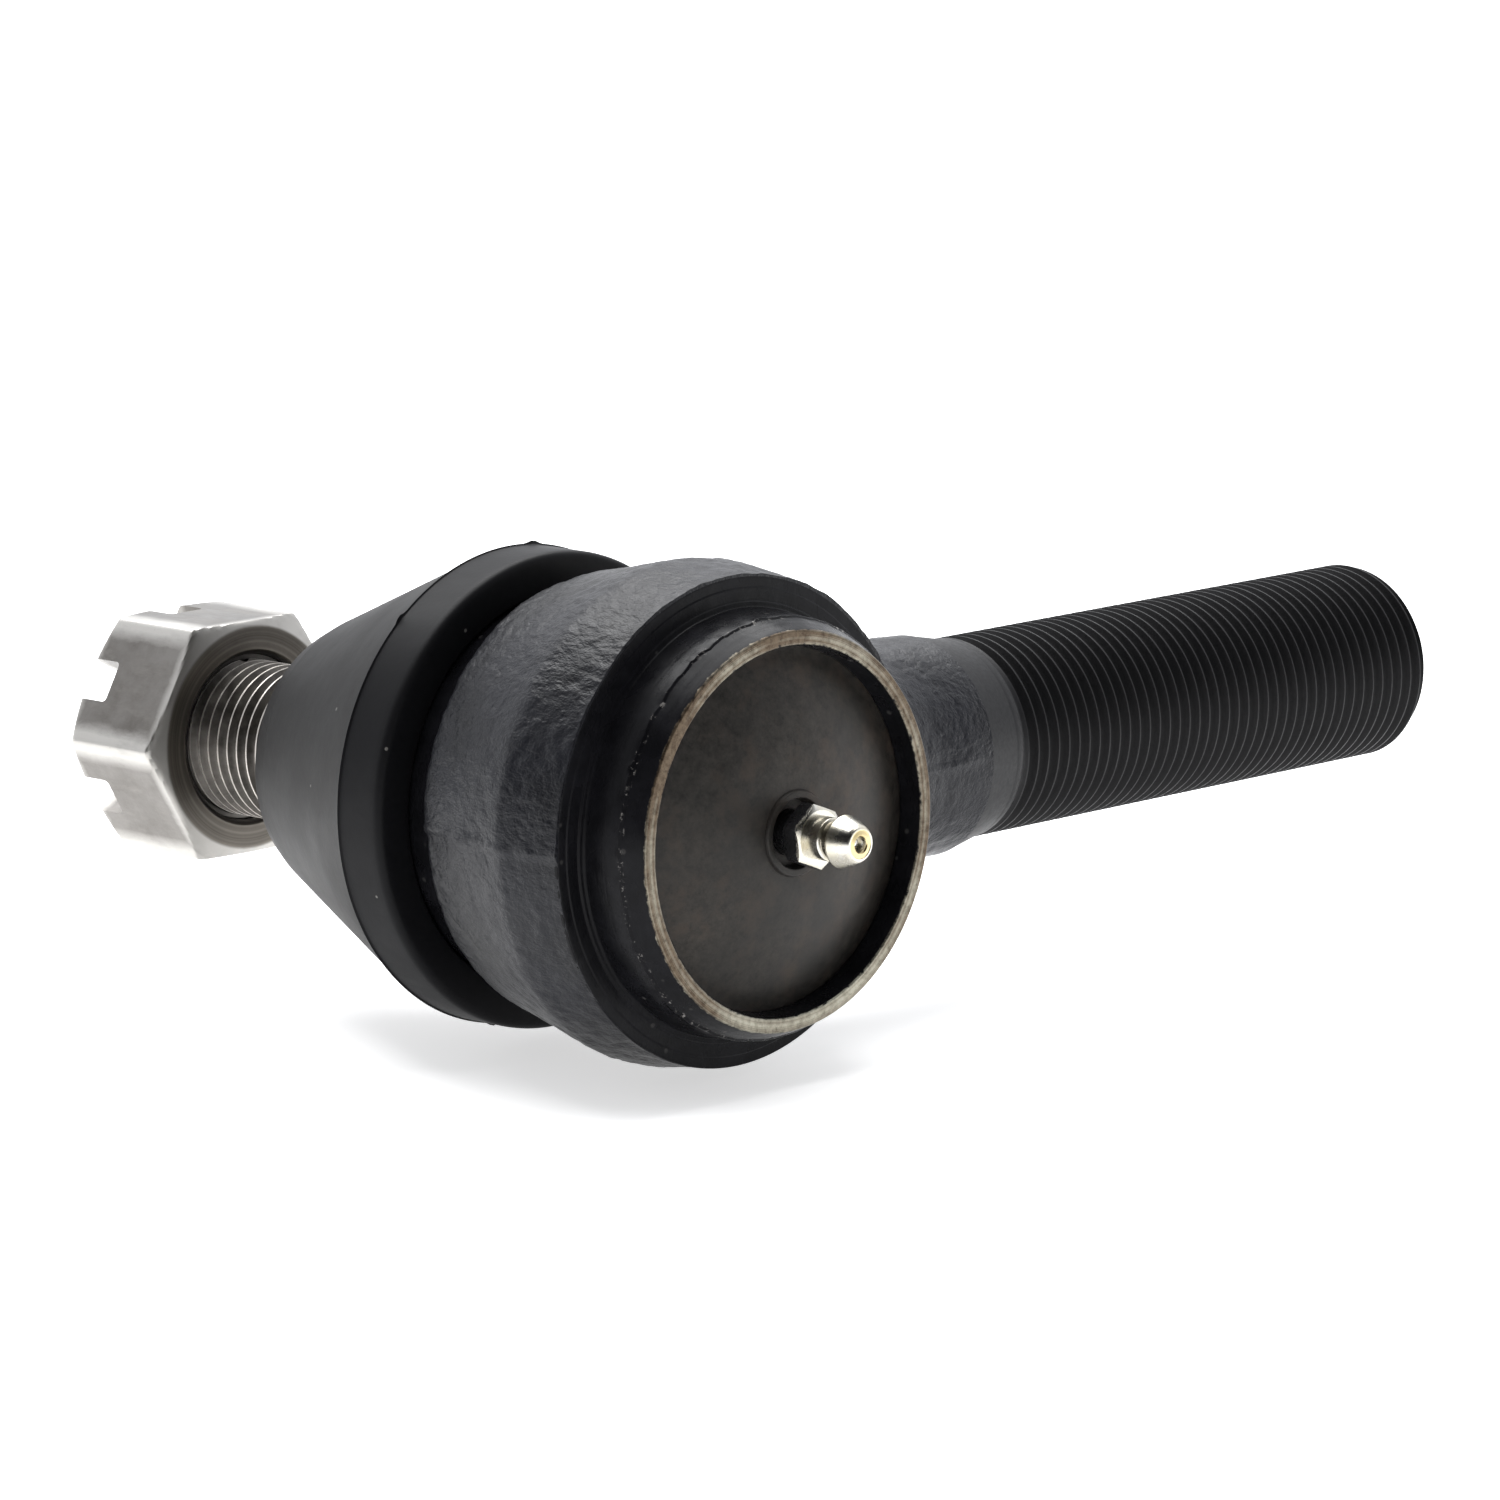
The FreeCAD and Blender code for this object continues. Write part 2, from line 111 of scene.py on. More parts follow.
BORE_R, BORE_TOP_Y = 25.0, 9.3
MOUTH_LOW_R, MOUTH_HIGH_R = 19.95, 24.25
PLUG_EDGE_Y, PLUG_TOP_Y = -27.8, -32.6
TAPER_START_Y, TAPER_END_Y, TAPER_R, TAPER_END_R = 28.0, 54.6, 13.6, 11.94
STUD_NECK_R = 13.7
COTTER_Y, COTTER_R = 79.0, 2.2
FITTING_HEX_BACK_Y, FITTING_HEX_FRONT_Y = -34.2, -37.1
FITTING_FLATS, FITTING_HEX_CORNER_DEG = 7.94, 38.0
BOOT_EDGE_Y, BOOT_WAIST_Y, BOOT_WAIST_R = 21.5, 51.0, 20.2
BOOT_SHOULDER_R, BOOT_SHOULDER_Y = 18.2, 55.0
BOOT_TOP_R, BOOT_HOLE_R, BOOT_WALL, BOOT_GRIP_R = 13.2, 12.15, 2.4, 27.35
NUT_BEARING_R, NUT_SINK_R, SLOT_WIDTH, SLOT_DEPTH = 15.8, 12.6, 6.1, 5.8
NUT_CHAMFER_DEG, NUT_TOP_CHAMFER_DEG, SLOT_FIRST_DEG = 18, 30, 30
SLOT_OFFSET_DEG = 0.07  # keeps the slots' cutters off the nut's own edges, where the cut fails
FLATS_TO_CORNERS = 2 / math.sqrt(3)
THREAD_CHAMFER = 0.75  # how far a thread's end is chamfered, in turns
THREAD_DEPTH = 0.56  # in turns


# Mesh helpers -----------------------------------------------------------------------------------

def place(axis, radius, angle, along):
    """Point or points in metres at an angle about the shank or stud axis."""
    if axis == SHANK:
        found = (along, radius * np.cos(angle), radius * np.sin(angle))
    else:
        found = (radius * np.sin(angle), along, radius * np.cos(angle))
    return np.stack(np.broadcast_arrays(*found), -1) * MM


def rounded(corners, steps=5):
    """Outline with corners (radius, along, fillet radius) turned into short arcs."""
    points = []
    for index, corner in enumerate(corners):
        here = Vector(corner[:2])
        fillet = corner[2] if len(corner) > 2 else 0
        if not fillet:
            points.append(tuple(here))
            continue
        before = Vector(corners[index - 1][:2]) - here
        after = Vector(corners[(index + 1) % len(corners)][:2]) - here
        half = before.angle(after) / 2
        reach = min(fillet / math.tan(half), 0.48 * before.length, 0.48 * after.length)
        start = here + before.normalized() * reach
        end = here + after.normalized() * reach
        for step in range(steps + 1):
            t = step / steps
            point = start * (1 - t) ** 2 + here * 2 * t * (1 - t) + end * t ** 2
            points.append(tuple(point))
    return points


def divided(points, step):
    """Outline with its long sides cut into pieces no longer than step."""
    found = []
    for index, point in enumerate(points):
        here, after = np.array(point), np.array(points[(index + 1) % len(points)])
        count = max(1, math.ceil(np.linalg.norm(after - here) / step))
        found += [tuple(here + (after - here) * part / count) for part in range(count)]
    return found


def new_object(name, vertices, faces):
    """Object from points in metres, with doubles merged and faces turned outwards."""
    mesh = bpy.data.meshes.new(name)
    mesh.from_pydata([tuple(v) for v in vertices], [], faces)
    made = bpy.data.objects.new(name, mesh)
    bpy.context.scene.collection.objects.link(made)
    tidy(made)
    return made


def tidy(made):
    """Merge doubles, drop faces with no area and turn the rest outwards."""
    distance = 0.002 * MM
    work = bmesh.new()
    work.from_mesh(made.data)
    bmesh.ops.remove_doubles(work, verts=work.verts, dist=distance)
    bmesh.ops.dissolve_degenerate(work, edges=work.edges, dist=distance)
    bmesh.ops.recalc_face_normals(work, faces=work.faces)
    work.to_mesh(made.data)
    work.free()


def shade(made, angle):
    """Smooth shading that keeps edges sharper than angle."""
    made.data.shade_smooth()
    made.data.set_sharp_from_angle(angle=math.radians(angle))


def lathe(name, axis, outline, segments, change=None):
    """Solid of revolution. change(angle, radius, along) may return other radii and distances."""
    outline = np.array(outline)
    angle = np.arange(segments) / segments * TURN
    radius = np.repeat(outline[:, :1], segments, 1)
    along = np.repeat(outline[:, 1:2], segments, 1)
    turn = np.repeat(angle[None, :], len(outline), 0)
    if change:
        radius, along = change(turn, radius, along)
    vertices = place(axis, radius, turn, along).reshape(-1, 3)
    faces = []
    for row in range(len(outline)):
        after = (row + 1) % len(outline)
        if outline[row][0] < 1e-6 and outline[after][0] < 1e-6:
            continue
        for column in range(segments):
            side = (column + 1) % segments
            faces.append((row * segments + column, row * segments + side,
                          after * segments + side, after * segments + column))
    return new_object(name, vertices, faces)


# One turn of a thread, as (share of the turn, share of the depth)
THREAD_FORM = [(0.0, 0.0), (0.125, 0.0), (0.28, 0.5), (0.42, 0.92), (0.5, 1.0),
               (0.62, 1.0), (0.7, 0.92), (0.845, 0.5)]


def threaded(name, axis, crest_r, pitch, start, end, rest, segments=144):
    """Closed solid with a helical thread from start to end. rest closes it from end back to start."""
    depth = THREAD_DEPTH * pitch
    chamfer_r = crest_r - THREAD_CHAMFER * pitch
    rows = []
    for turn in range(-1, math.ceil((end - start) / pitch) + 2):
        rows += [(turn + phase, dip) for phase, dip in THREAD_FORM]
    rows = np.array(rows)
    per_turn = len(THREAD_FORM)
    angle = np.arange(segments) / segments * TURN
    along = start + (rows[:, :1] + angle[None, :] / TURN - 1) * pitch
    fade = np.clip((along - start) / pitch, 0, 1)
    along = np.clip(along, start, end)
    radius = crest_r - depth * rows[:, 1:2] * fade
    radius = np.minimum(radius, chamfer_r + (end - along))
    turn = np.repeat(angle[None, :], len(rows), 0)
    vertices = list(place(axis, radius, turn, along).reshape(-1, 3))

    def vertex(row, column):
        if column == segments:
            return (row + per_turn) * segments
        return row * segments + column

    faces = []
    for row in range(len(rows) - 1):
        for column in range(segments):
            if column == segments - 1 and row + 1 + per_turn >= len(rows):
                continue
            faces.append((vertex(row, column), vertex(row, column + 1),
                          vertex(row + 1, column + 1), vertex(row + 1, column)))
    outline = [(chamfer_r, end)] + list(rest) + [(crest_r, start)]
    first = len(vertices)
    for ring in outline:
        vertices += list(place(axis, ring[0], angle, ring[1]))
    for row in range(len(outline) - 1):
        for column in range(segments):
            side = (column + 1) % segments
            low, high = first + row * segments, first + (row + 1) * segments
            faces.append((low + column, low + side, high + side, high + column))
    return new_object(name, vertices, faces)


def boolean(made, tool, operation="DIFFERENCE"):
    """Cut, join or intersect made with tool, and remove the tool."""
    modifier = made.modifiers.new("cut", "BOOLEAN")
    modifier.operation = operation
    modifier.solver = "EXACT"
    modifier.object = tool
    apply_modifiers(made)
    bpy.data.objects.remove(tool)


def apply_modifiers(made):
    """Keep the mesh that the modifiers give."""
    bpy.context.view_layer.update()
    graph = bpy.context.evaluated_depsgraph_get()
    mesh = bpy.data.meshes.new_from_object(made.evaluated_get(graph), depsgraph=graph)
    made.modifiers.clear()
    made.data = mesh


def bevelled(made, width):
    """Round the sharp edges, width in millimetres."""
    modifier = made.modifiers.new("edges", "BEVEL")
    modifier.width = width * MM
    modifier.segments = 2
    modifier.limit_method = "ANGLE"
    modifier.angle_limit = math.radians(28)
    apply_modifiers(made)


def points_of(made):
    """Vertex positions and normals as arrays, positions in millimetres."""
    count = len(made.data.vertices)
    places = np.empty(count * 3, np.float32)
    normals = np.empty(count * 3, np.float32)
    made.data.vertices.foreach_get("co", places)
    made.data.vertices.foreach_get("normal", normals)
    return places.reshape(-1, 3) / MM, normals.reshape(-1, 3)


def move_along_normals(made, height):
    """Push each vertex along its normal by height(positions) millimetres."""
    places, normals = points_of(made)
    moved = (places + normals * height(places)[:, None]) * MM
    made.data.vertices.foreach_set("co", moved.astype(np.float32).ravel())
    made.data.update()


def grain(places, scales, octaves):
    """Smooth noise at each point, with its own scale per axis in cycles per millimetre."""
    scaled = places * np.array(scales)
    return np.array([noise.fractal(Vector(p), 0.8, 2.0, octaves) for p in scaled])


def hexagon(name, across_flats, low, high, first_corner):
    """Hexagonal bar along the stud axis, with its first corner at that many degrees."""
    corner_r = across_flats * FLATS_TO_CORNERS / 2
    angles = np.pi / 2 - (np.arange(6) / 6 * TURN + math.radians(first_corner))
    rings = [place(STUD, corner_r, angles, y) for y in (low, high)]
    faces = [tuple(range(6)), tuple(range(6, 12))]
    faces += [(i, (i + 1) % 6, (i + 1) % 6 + 6, i + 6) for i in range(6)]
    return new_object(name, np.concatenate(rings), faces)


# Material helpers -------------------------------------------------------------------------------

class Paint:
    """Builds one node material."""

    def __init__(self, name):
        self.material = bpy.data.materials.new(name)
        self.material.use_nodes = True
        self.tree = self.material.node_tree
        self.shader = self.tree.nodes["Principled BSDF"]
        self.place = self.add("TexCoord").outputs["Object"]

    def add(self, kind, values=None, **settings):
        """New node. Values are numbers, colours or sockets, by input name or number."""
        made = self.tree.nodes.new("ShaderNode" + kind)
        for name, value in settings.items():
            setattr(made, name, value)
        for key, value in (values or {}).items():
            self.put(made.inputs[key], value)
        return made

    def put(self, socket, value):
        """Link a socket or set a constant."""
        if isinstance(value, bpy.types.NodeSocket):
            self.tree.links.new(value, socket)
        else:
            socket.default_value = value

    def noise(self, cycles, detail, roughness=0.55, stretch=(1, 1, 1), seed=0.0):
        """Noise from 0 to 1 with that many cycles per millimetre."""
        moved = self.add("Mapping", {"Vector": self.place, "Scale": stretch,
                                     "Location": (seed, seed * 0.7, -seed)})
        made = self.add("TexNoise", {"Vector": moved.outputs[0], "Scale": cycles / MM,
                                     "Detail": detail, "Roughness": roughness})
        return made.outputs["Fac"]

    def cells(self, cycles):
        """Distance to scattered points, with that many per millimetre."""
        made = self.add("TexVoronoi", {"Vector": self.place, "Scale": cycles / MM})
        return made.outputs["Distance"]

    def math(self, operation, first, second=0.0, clamp=False):
        """One step of arithmetic on numbers or sockets."""
        made = self.add("Math", {0: first, 1: second}, operation=operation, use_clamp=clamp)
        return made.outputs[0]

    def between(self, value, low, high, new_low=0.0, new_high=1.0):
        """Map value from low..high to new_low..new_high, held at the ends."""
        made = self.add("MapRange", {"Value": value, "From Min": low, "From Max": high,
                                     "To Min": new_low, "To Max": new_high})
        return made.outputs[0]

    def mix(self, share, first, second):
        """Blend two colours."""
        made = self.add("Mix", {"Factor": share}, data_type="RGBA")
        for index, value in ((6, first), (7, second)):
            if not isinstance(value, bpy.types.NodeSocket) and len(value) == 3:
                value = (*value, 1.0)
            self.put(made.inputs[index], value)
        return made.outputs[2]

    def radius(self, axis):
        """Distance from the shank or stud axis in millimetres."""
        keep = (0, 1, 1) if axis == SHANK else (1, 0, 1)
        flat = self.add("VectorMath", {0: self.place, 1: keep}, operation="MULTIPLY")
        length = self.add("VectorMath", {0: flat.outputs[0]}, operation="LENGTH")
        return self.math("DIVIDE", length.outputs["Value"], MM)

    def along(self, axis):
        """Distance along the shank or stud axis in millimetres."""
        parts = self.add("SeparateXYZ", {0: self.place})
        return self.math("DIVIDE", parts.outputs["X" if axis == SHANK else "Y"], MM)

    def rings(self, axis, cycles, seed=0.0):
        """Turning marks: noise that only changes with the radius and along the axis."""
        spot = self.add("CombineXYZ", {"X": self.radius(axis), "Y": self.along(axis), "Z": seed})
        made = self.add("TexNoise", {"Vector": spot.outputs[0], "Scale": cycles, "Detail": 3.0,
                                     "Roughness": 0.6})
        return made.outputs["Fac"]

    def bump(self, height, depth, strength, under=None):
        """Bump of about depth millimetres, over an earlier one if given."""
        values = {"Height": height, "Distance": depth * MM, "Strength": strength}
        if under is not None:
            values["Normal"] = under
        return self.add("Bump", values).outputs[0]

    def finish(self, **sockets):
        """Set or link the shader's inputs, by name with spaces as underscores."""
        for name, value in sockets.items():
            self.put(self.shader.inputs[name.replace("_", " ")], value)
        return self.material


def forged_paint():
    """Satin black paint over a scaly forged skin."""
    paint = Paint("forged_paint")
    skin = paint.noise(0.42, 4.0, 0.6, (1, 1, 0.6))
    pits = paint.noise(1.15, 3.0, 0.65, (1, 0.6, 1), 3.0)
    patches = paint.noise(0.05, 3.0, 0.5, seed=7.0)
    tone = paint.mix(paint.between(patches, 0.35, 0.7), (0.0045, 0.0046, 0.006), (0.009, 0.0096, 0.0135))
    worn = paint.between(pits, 0.6, 0.78)
    tone = paint.mix(paint.math("MULTIPLY", worn, 0.3), tone, (0.04, 0.04, 0.05))
    rough = paint.between(skin, 0.3, 0.7, 0.3, 0.44)
    normal = paint.bump(skin, 0.22, 0.8)
    normal = paint.bump(pits, 0.24, 1.0, normal)
    return paint.finish(Base_Color=tone, Roughness=rough, Normal=normal, Specular_IOR_Level=0.22)


def machined_paint():
    """Glossy black paint on turned faces; the lip's end is bare steel where the paint is gone, with painted
    light making that steel paler towards the bottom.
    """
    paint = Paint("machined_paint")
    y = paint.along(STUD)
    radius = paint.radius(STUD)
    ragged = paint.between(paint.noise(0.9, 5.0, 0.65, seed=1.0), 0.25, 0.75, -0.5, 0.5)
    end = paint.between(paint.math("ADD", y, paint.math("MULTIPLY", ragged, 0.5)),
                        LIP_END + 0.32, LIP_END + 0.12)
    inner = paint.between(paint.math("ADD", radius, ragged), LIP_INNER_R - 0.2, LIP_INNER_R + 0.1)
    bare = paint.math("MULTIPLY", end, inner)
    turned = paint.rings(STUD, 1.3)
    rust = paint.noise(0.05, 4.0, 0.6, seed=4.0)
    # Height in millimetres, used below for painted light on the bare steel.
    low = paint.math("DIVIDE", paint.add("SeparateXYZ", {0: paint.place}).outputs["Z"], MM)
    specks = paint.noise(1.1, 5.0, 0.75, seed=6.0)
    brown = paint.mix(paint.between(specks, 0.35, 0.65), (0.045, 0.031, 0.021), (0.15, 0.115, 0.08))
    cream = paint.mix(paint.between(specks, 0.3, 0.6), (0.16, 0.148, 0.112), (0.40, 0.385, 0.315))
    share = paint.math("ADD", paint.between(turned, 0.38, 0.62, -0.6, 0.75),
                       paint.between(rust, 0.38, 0.62, -0.4, 0.4))
    # Painted light: the bare steel turns paler the lower it sits on the ring, as if lit from the floor
    # below.
    share = paint.math("ADD", share, paint.between(low, 0.0, -26.0, 0.0, 0.55), clamp=True)
    steel = paint.mix(share, brown, cream)
    spots = paint.between(paint.cells(0.22), 0.1, 0.06)
    blotch = paint.noise(0.16, 4.0, 0.6, seed=9.0)
    black = paint.mix(paint.between(blotch, 0.4, 0.7), (0.005, 0.005, 0.006), (0.010, 0.010, 0.012))
    black = paint.mix(paint.math("MULTIPLY", spots, 0.25), black, (0.12, 0.115, 0.11))
    chips = paint.noise(1.3, 4.0, 0.7, seed=12.0)
    torn = paint.between(paint.math("ABSOLUTE", paint.math("SUBTRACT", y, LIP_END + 3.25)), 0.45, 0.1)
    torn = paint.math("MULTIPLY", torn, paint.between(radius, 26.5, 26.6))
    chips = paint.math("MULTIPLY", torn, paint.between(chips, 0.58, 0.66))
    black = paint.mix(chips, black, (0.22, 0.21, 0.2))
    tone = paint.mix(bare, black, steel)
    sag = paint.noise(0.35, 3.0, 0.5, (1, 1, 0.5), 2.0)
    rough = paint.between(sag, 0.3, 0.7, 0.2, 0.36)
    worn = paint.between(specks, 0.4, 0.7, 0.34, 0.55)
    rough = paint.add("Mix", {"Factor": bare, "A": rough, "B": worn}).outputs[0]
    normal = paint.bump(sag, 0.14, 0.6)
    normal = paint.bump(turned, 0.04, 0.8, normal)
    return paint.finish(Base_Color=tone, Roughness=rough, Metallic=paint.math("MULTIPLY", bare, 0.8),
                        Normal=normal, Specular_IOR_Level=0.08)


def shank_paint():
    """Black paint, thin on the thread's crests."""
    paint = Paint("shank_paint")
    radius = paint.radius(SHANK)
    wear = paint.noise(0.12, 4.0, 0.6, seed=5.0)
    crest = paint.between(radius, SHANK_R - 0.2, SHANK_R - 0.02)
    share = paint.math("MULTIPLY", crest, paint.between(wear, 0.3, 0.7, 0.1, 0.5))
    tone = paint.mix(share, (0.007, 0.0069, 0.0078), (0.012, 0.012, 0.0135))
    speck = paint.noise(1.6, 4.0, 0.6, seed=8.0)
    rough = paint.between(speck, 0.3, 0.7, 0.42, 0.54)
    turned = paint.rings(SHANK, 3.0)
    normal = paint.bump(speck, 0.03, 0.6)
    normal = paint.bump(turned, 0.02, 0.5, normal)
    return paint.finish(Base_Color=tone, Roughness=rough, Normal=normal, Specular_IOR_Level=0.2)


def plug_steel():
    """Dull blackened sheet steel with brown mottling and small dents."""
    paint = Paint("plug_steel")
    mottle = paint.noise(0.6, 6.0, 0.8)
    cloud = paint.noise(0.05, 3.0, 0.5, seed=3.0)
    grime = paint.noise(0.18, 5.0, 0.7, seed=6.0)
    tone = paint.mix(paint.between(mottle, 0.3, 0.7), (0.014, 0.0128, 0.0115), (0.052, 0.046, 0.04))
    tone = paint.mix(paint.between(grime, 0.5, 0.75), tone, (0.06, 0.045, 0.035))
    tone = paint.mix(paint.between(cloud, 0.4, 0.65, 0.0, 0.5), tone, (0.02, 0.02, 0.0195))
    rough = paint.between(mottle, 0.3, 0.7, 0.38, 0.56)
    normal = paint.bump(mottle, 0.06, 0.5)
    normal = paint.bump(paint.noise(0.15, 3.0, 0.5, seed=2.0), 0.25, 0.5, normal)
    return paint.finish(Base_Color=tone, Roughness=rough, Metallic=0.4, Normal=normal,
                        Specular_IOR_Level=0.2)


def fitting_plating():
    """Yellowish zinc, browner at the tip, with painted brown shade in the groove, under black paint behind
    the hexagon's front.
    """
    paint = Paint("fitting_plating")
    smudge = paint.noise(0.35, 4.0, 0.6)
    turned = paint.rings(STUD, 6.0)
    tone = paint.mix(paint.between(smudge, 0.35, 0.65), (0.66, 0.645, 0.60), (0.60, 0.56, 0.45))
    y = paint.along(STUD)
    tip = paint.between(y, FITTING_TIP_Y + 0.2, FITTING_TIP_Y + 0.12)
    tip = paint.math("MULTIPLY", tip, paint.between(paint.radius(STUD), 2.0, 1.9))
    tone = paint.mix(paint.math("MULTIPLY", tip, 0.85), tone, (0.62, 0.50, 0.24))
    # Painted shade: the groove between the collar and the head is darkened to a dull brown.
    groove = paint.between(paint.radius(STUD), 2.85, 2.5)
    groove = paint.math("MULTIPLY", groove, paint.between(y, FITTING_TIP_Y + 1.0, FITTING_TIP_Y + 1.4))
    tone = paint.mix(paint.math("MULTIPLY", groove, 0.7), tone, (0.2, 0.17, 0.11))
    torn = paint.between(paint.noise(0.8, 5.0, 0.7, seed=3.0), 0.3, 0.7, -0.35, 0.35)
    black = paint.between(paint.math("ADD", y, torn), FITTING_HEX_FRONT_Y + 0.55, FITTING_HEX_FRONT_Y + 0.65)
    tone = paint.mix(black, tone, (0.012, 0.012, 0.013))
    rough = paint.between(smudge, 0.3, 0.7, 0.2, 0.34)
    normal = paint.bump(turned, 0.012, 0.5)
    metal = paint.math("SUBTRACT", 1.0, black)
    return paint.finish(Base_Color=tone, Roughness=rough, Metallic=metal, Normal=normal)


def bearing_steel():
    """Ground steel with fine marks."""
    paint = Paint("bearing_steel")
    turned = paint.rings(STUD, 5.0)
    smudge = paint.noise(0.2, 4.0, 0.6)
    tone = paint.mix(paint.between(smudge, 0.3, 0.7), (0.55, 0.55, 0.56), (0.68, 0.68, 0.69))
    rough = paint.between(smudge, 0.3, 0.7, 0.16, 0.3)
    return paint.finish(Base_Color=tone, Roughness=rough, Metallic=1.0,
                        Normal=paint.bump(turned, 0.01, 0.5))


def seat_polymer():
    """Moulded acetal with a greasy sheen."""
    paint = Paint("seat_polymer")
    smudge = paint.noise(0.12, 4.0, 0.6)
    tone = paint.mix(paint.between(smudge, 0.3, 0.7), (0.72, 0.68, 0.56), (0.6, 0.55, 0.42))
    rough = paint.between(smudge, 0.3, 0.7, 0.25, 0.45)
    return paint.finish(Base_Color=tone, Roughness=rough,
                        Normal=paint.bump(paint.noise(1.5, 3.0), 0.01, 0.5))


def spring_steel():
    """Oiled blue-grey spring steel."""
    paint = Paint("spring_steel")
    smudge = paint.noise(0.3, 4.0, 0.6)
    tone = paint.mix(paint.between(smudge, 0.3, 0.7), (0.14, 0.145, 0.16), (0.3, 0.3, 0.31))
    rough = paint.between(smudge, 0.3, 0.7, 0.25, 0.4)
    return paint.finish(Base_Color=tone, Roughness=rough, Metallic=0.9,
                        Normal=paint.bump(paint.rings(STUD, 4.0), 0.01, 0.5))


def stud_steel():
    """Phosphated steel, bright on the thread's crests."""
    paint = Paint("stud_steel")
    radius = paint.radius(STUD)
    y = paint.along(STUD)
    on_thread = paint.between(y, STUD_THREAD_START - 0.5, STUD_THREAD_START)
    crest = paint.between(radius, STUD_R - 0.05, STUD_R - 0.01)
    crest = paint.math("MULTIPLY", crest, on_thread)
    wear = paint.noise(0.4, 5.0, 0.65)
    crest = paint.math("MULTIPLY", crest, paint.between(wear, 0.3, 0.6, 0.45, 1.0))
    dark = paint.mix(paint.between(wear, 0.35, 0.7), (0.085, 0.078, 0.071), (0.16, 0.148, 0.134))
    tone = paint.mix(crest, dark, (0.62, 0.585, 0.54))
    rough = paint.between(wear, 0.3, 0.7, 0.32, 0.5)
    normal = paint.bump(paint.rings(STUD, 4.0), 0.012, 0.5)
    return paint.finish(Base_Color=tone, Roughness=rough, Metallic=0.85, Normal=normal)


def nut_steel():
    """Plain steel, brownish and soiled, with paler worn edges, a dark turned bearing face and painted shade
    in the bore.
    """
    paint = Paint("nut_steel")
    y = paint.along(STUD)
    radius = paint.radius(STUD)
    cloud = paint.noise(0.11, 5.0, 0.65)
    smear = paint.noise(0.3, 5.0, 0.7, (1, 0.35, 1), 4.0)
    speck = paint.noise(1.4, 4.0, 0.6, seed=2.0)
    scratch = paint.noise(2.6, 2.0, 0.5, (0.12, 1, 0.12), 6.0)
    tone = paint.mix(paint.between(cloud, 0.35, 0.65), (0.13, 0.121, 0.110), (0.2, 0.19, 0.178))
    tone = paint.mix(paint.between(smear, 0.48, 0.7, 0.0, 0.7), tone, (0.08, 0.07, 0.06))
    edge = paint.math("ADD", paint.between(radius, 17.7, 18.6), paint.between(smear, 0.3, 0.7, -0.3, 0.3))
    near_face = paint.between(y, NUT_Y + 2.2, NUT_Y + 0.7, 0.0, 0.8)
    near_top = paint.between(y, NUT_TOP - 2.2, NUT_TOP - 0.9, 0.0, 0.6)
    edge = paint.math("MAXIMUM", edge, paint.math("MAXIMUM", near_face, near_top), clamp=True)
    tone = paint.mix(paint.math("MULTIPLY", edge, 0.75), tone, (0.6, 0.585, 0.555))
    ring = paint.between(radius, NUT_BEARING_R + 0.35, NUT_BEARING_R - 0.05)
    ring = paint.math("MULTIPLY", ring, paint.between(y, NUT_Y + 0.5, NUT_Y + 0.25))
    turned = paint.rings(STUD, 1.8)
    dark = paint.mix(paint.between(turned, 0.35, 0.65), (0.10, 0.09, 0.078), (0.165, 0.15, 0.13))
    tone = paint.mix(ring, tone, dark)
    # Painted shade: the bore, the thread sleeve in it and most of the countersink are darkened.
    bore = paint.between(radius, NUT_SINK_R + 0.1, NUT_SINK_R - 0.4)
    tone = paint.mix(paint.math("MULTIPLY", bore, 0.75), tone, (0.03, 0.026, 0.022))
    tone = paint.mix(paint.between(speck, 0.68, 0.78, 0.0, 0.5), tone, (0.1, 0.085, 0.07))
    rough = paint.between(smear, 0.3, 0.7, 0.3, 0.46)
    normal = paint.bump(speck, 0.03, 0.6)
    normal = paint.bump(scratch, 0.012, 0.5, normal)
    normal = paint.bump(smear, 0.08, 0.4, normal)
    normal = paint.bump(turned, 0.02, 0.5, normal)
    return paint.finish(Base_Color=tone, Roughness=rough, Metallic=0.9, Normal=normal)


def boot_rubber():
    """Matt black-grey rubber with a little bloom and dust."""
    paint = Paint("boot_rubber")
    cloud = paint.noise(0.07, 4.0, 0.55, (1, 0.6, 1))
    y = paint.along(STUD)
    bloom = paint.between(y, BOOT_EDGE_Y - 0.2, BOOT_EDGE_Y + 1.5)
    tone = paint.mix(paint.between(cloud, 0.35, 0.7), (0.0065, 0.0061, 0.0059), (0.0115, 0.0108, 0.0105))
    tone = paint.mix(bloom, (0.006, 0.006, 0.007), tone)
    dust = paint.between(paint.cells(0.24), 0.075, 0.05)
    dust = paint.math("MULTIPLY", dust, paint.between(paint.noise(0.09, 2.0, seed=5.0), 0.5, 0.6))
    tone = paint.mix(paint.math("MULTIPLY", dust, 0.5), tone, (0.3, 0.29, 0.27))
    fine = paint.noise(1.8, 4.0, 0.6, seed=3.0)
    rough = paint.between(cloud, 0.3, 0.7, 0.4, 0.52)
    normal = paint.bump(fine, 0.02, 0.6)
    normal = paint.bump(paint.noise(0.1, 3.0, 0.5, seed=8.0), 0.3, 0.4, normal)
    return paint.finish(Base_Color=tone, Roughness=rough, Normal=normal, Specular_IOR_Level=0.1)


def floor_paper():
    """Pale studio paper."""
    paint = Paint("floor_paper")
    fibre = paint.noise(0.02, 5.0, 0.6)
    tone = paint.mix(paint.between(fibre, 0.3, 0.7), (0.86, 0.86, 0.862), (0.9, 0.9, 0.9))
    return paint.finish(Base_Color=tone, Roughness=0.9, Specular_IOR_Level=0.1,
                        Emission_Color=(1.0, 1.0, 1.0, 1.0), Emission_Strength=0.6)


